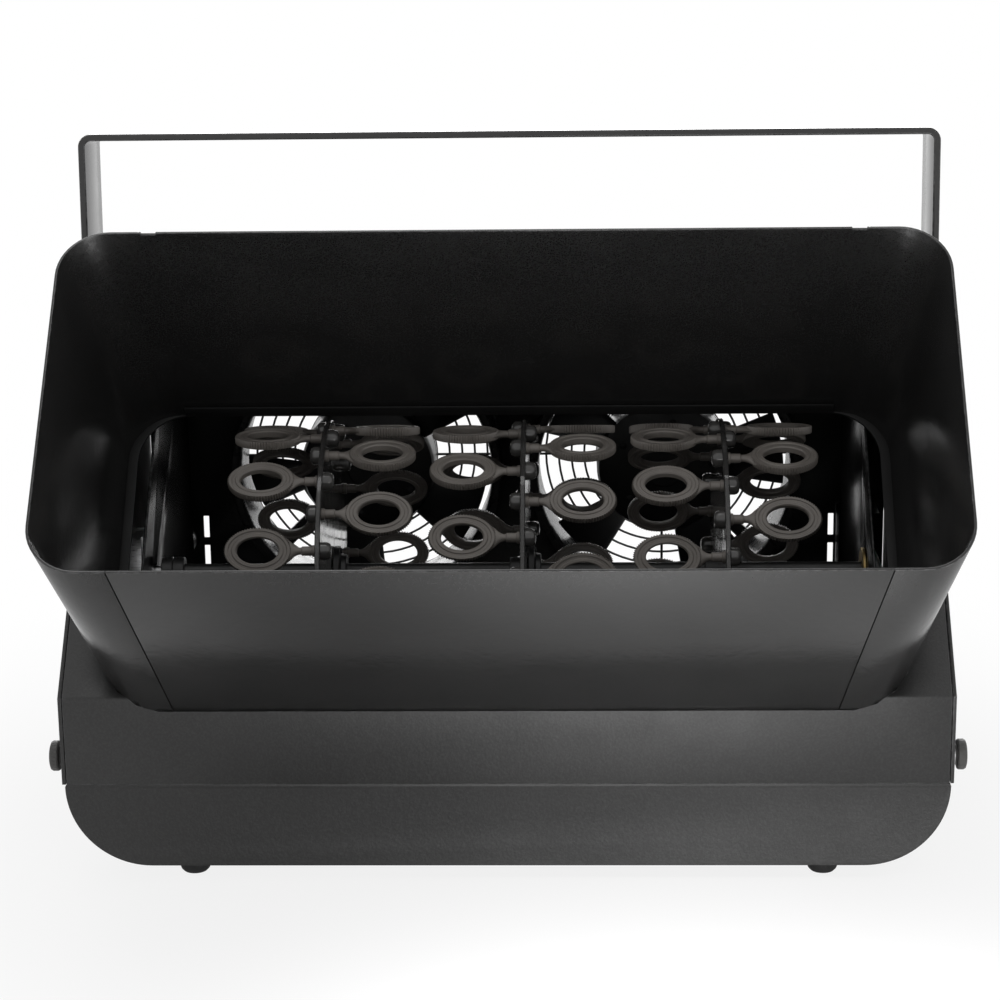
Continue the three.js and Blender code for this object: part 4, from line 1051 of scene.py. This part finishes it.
# %% Impellers
fan_drum, fan_tip, fan_pitch_angle = 43.0, 76.8, 31.0
blade_count, blade_steps, blade_front, blade_travel, blade_sheet = 5, 8, 293.2, 26, 2.0
blade_turns = {"left": -44, "right": -7}
drum_profile = [(0, 291.2), (12, 291.2), (13, 291.8), (38, 292.0), (41.4, 293.2),
                (42.8, 295.8), (43, 299), (43, 320.6), (42.4, 321.2), (0, 321.2)]
axle_profile = [(0, 317), (3, 317), (3, 326), (0, 326)]
pip_profile = [(0, 1.2), (1.4, 1.1), (2.4, 0.5), (2.6, -0.4), (0, -0.4)]


def fan_blade(bm, turn):
    """A radial edge that is spun round the axle while it moves along it."""
    inner = bm.verts.new((fan_drum - 1, blade_front, 0))
    outer = bm.verts.new((fan_tip, blade_front, 0))
    edge = bm.edges.new((inner, outer))
    swing(bm, [inner, outer], fan_pitch_angle / 2)
    old = set(bm.verts) - {inner, outer}
    bmesh.ops.spin(bm, geom=[inner, outer, edge], cent=(0, 0, 0), axis=(0, 1, 0),
                   dvec=(0, blade_travel / blade_steps, 0), angle=math.radians(-fan_pitch_angle),
                   steps=blade_steps)
    swing(bm, [v for v in bm.verts if v not in old], turn)


def impeller(name):
    bm = bmesh.new()
    turns = [blade_turns[name] + 360 / blade_count * index for index in range(blade_count)]
    for turn in turns:
        fan_blade(bm, turn)
    outward(bm)
    thicken(bm, blade_sheet)
    soften(bm, 0.5, 2, 60)
    turned(bm, drum_profile, 72, along_y)
    turned(bm, axle_profile, 24, along_y)
    for turn in turns:
        pip = rotation(turn, "Y") @ moved(30, 292.1, 0) @ rotation(90, "X")
        turned(bm, pip_profile, 16, pip)
    finish_piece(f"fan_{name}_rotor", outward(bm), fan_matrix(name), f"fan_{name}_impeller",
                 "black_plastic", black_plastic)


# %% Guards
wire_radius, ring_y, guard_rings = 0.75, 332.55, (42.6, 50.9, 59.2, 67.5, 75.8, 84.0)
spoke_radius, spoke_y, spoke_middle, spoke_length = 0.85, 331.2, 63, 46


def guard(name):
    bm = bmesh.new()
    for radius in guard_rings:
        circle = bmesh.ops.create_circle(bm, segments=10, radius=wire_radius)["verts"]
        bmesh.ops.translate(bm, vec=(radius, ring_y, 0), verts=circle)
        ring = circle + list({e for v in circle for e in v.link_edges})
        bmesh.ops.spin(bm, geom=ring, cent=(0, 0, 0), axis=(0, 1, 0), angle=math.tau, steps=72,
                       use_merge=True)
    for index in range(4):
        spoke = rod(bm, spoke_radius, spoke_length, 12,
                    moved(spoke_middle, spoke_y, 0) @ along_x)
        swing(bm, spoke, 90 * index)
    return finish_piece(f"fan_{name}_grille", outward(bm), fan_matrix(name),
                        f"fan_{name}_guard", "guard_wire", guard_wire)


for name in sides:
    fan_frame(name)
    impeller(name)
    grille = guard(name)
    print("fan", name, "guard faces:", len(grille.data.polygons))

# %% [markdown]
# The rest is seen only from behind or not at all: the tank with its drain, and the sockets,
# the switch and the board. Their solids are right already, so they are copied and given small
# rounded edges. Pins and parts of the board get their own finish by where they lie.

# %% Tank, drain and controls
def recolour(piece, finish, inside):
    """Gives another finish to the faces whose middle lies inside a box, in millimetres."""
    low, high = inside
    piece.data.materials.append(finish)
    index = len(piece.data.materials) - 1
    back = machine.inverted()
    for face in piece.data.polygons:
        middle = back @ face.center
        if all(low[axis] <= middle[axis] <= high[axis] for axis in range(3)):
            face.material_index = index


dressed("fluid_tank", "black_plastic", black_plastic, 0.5)
dressed("drain_spigot", "black_plastic", black_plastic, 0.3)
plug_profile = [(0, 8), (7.8, 8), (8.7, 7.5), (9, 6.6), (9, 1), (8.6, 0.4), (4, 0.2), (3.6, 0),
                (3.6, -9.6), (3.2, -10), (0, -10)]
plug = carve(outward(lathe(plug_profile, 48)), ring_of_rods(16, 0.9, 9.5, 30, 8, 10))
finish_piece("drain_plug_cap", plug, machine @ moved(-150, 338.3, 22) @ along_y,
             "drain_plug", "black_plastic", knob_plastic)
inlet = dressed("power_inlet", "black_plastic", black_plastic, 0.3)
recolour(inlet, turned_brass, ((212.5, 315, 109), (231.5, 331, 123)))
for node in ("fuse_drawer", "power_switch", "switch_rocker", "remote_socket"):
    dressed(node, "black_plastic", black_plastic, 0.3)
board = dressed("control_board", "board", board_green, 0.2)
recolour(board, black_plastic, ((215.5, 50, 50), (240, 190, 150)))
recolour(board, turned_brass, ((200, 50, 50), (213.7, 190, 150)))
print("controls done")

# %% [markdown]
# Last, the plain view transform is set, so that colours show as they are written, and the scene is
# brought up to date. They should agree to a few tenths of a millimetre.

# %% Finish
bpy.context.scene.view_settings.view_transform = "Standard"
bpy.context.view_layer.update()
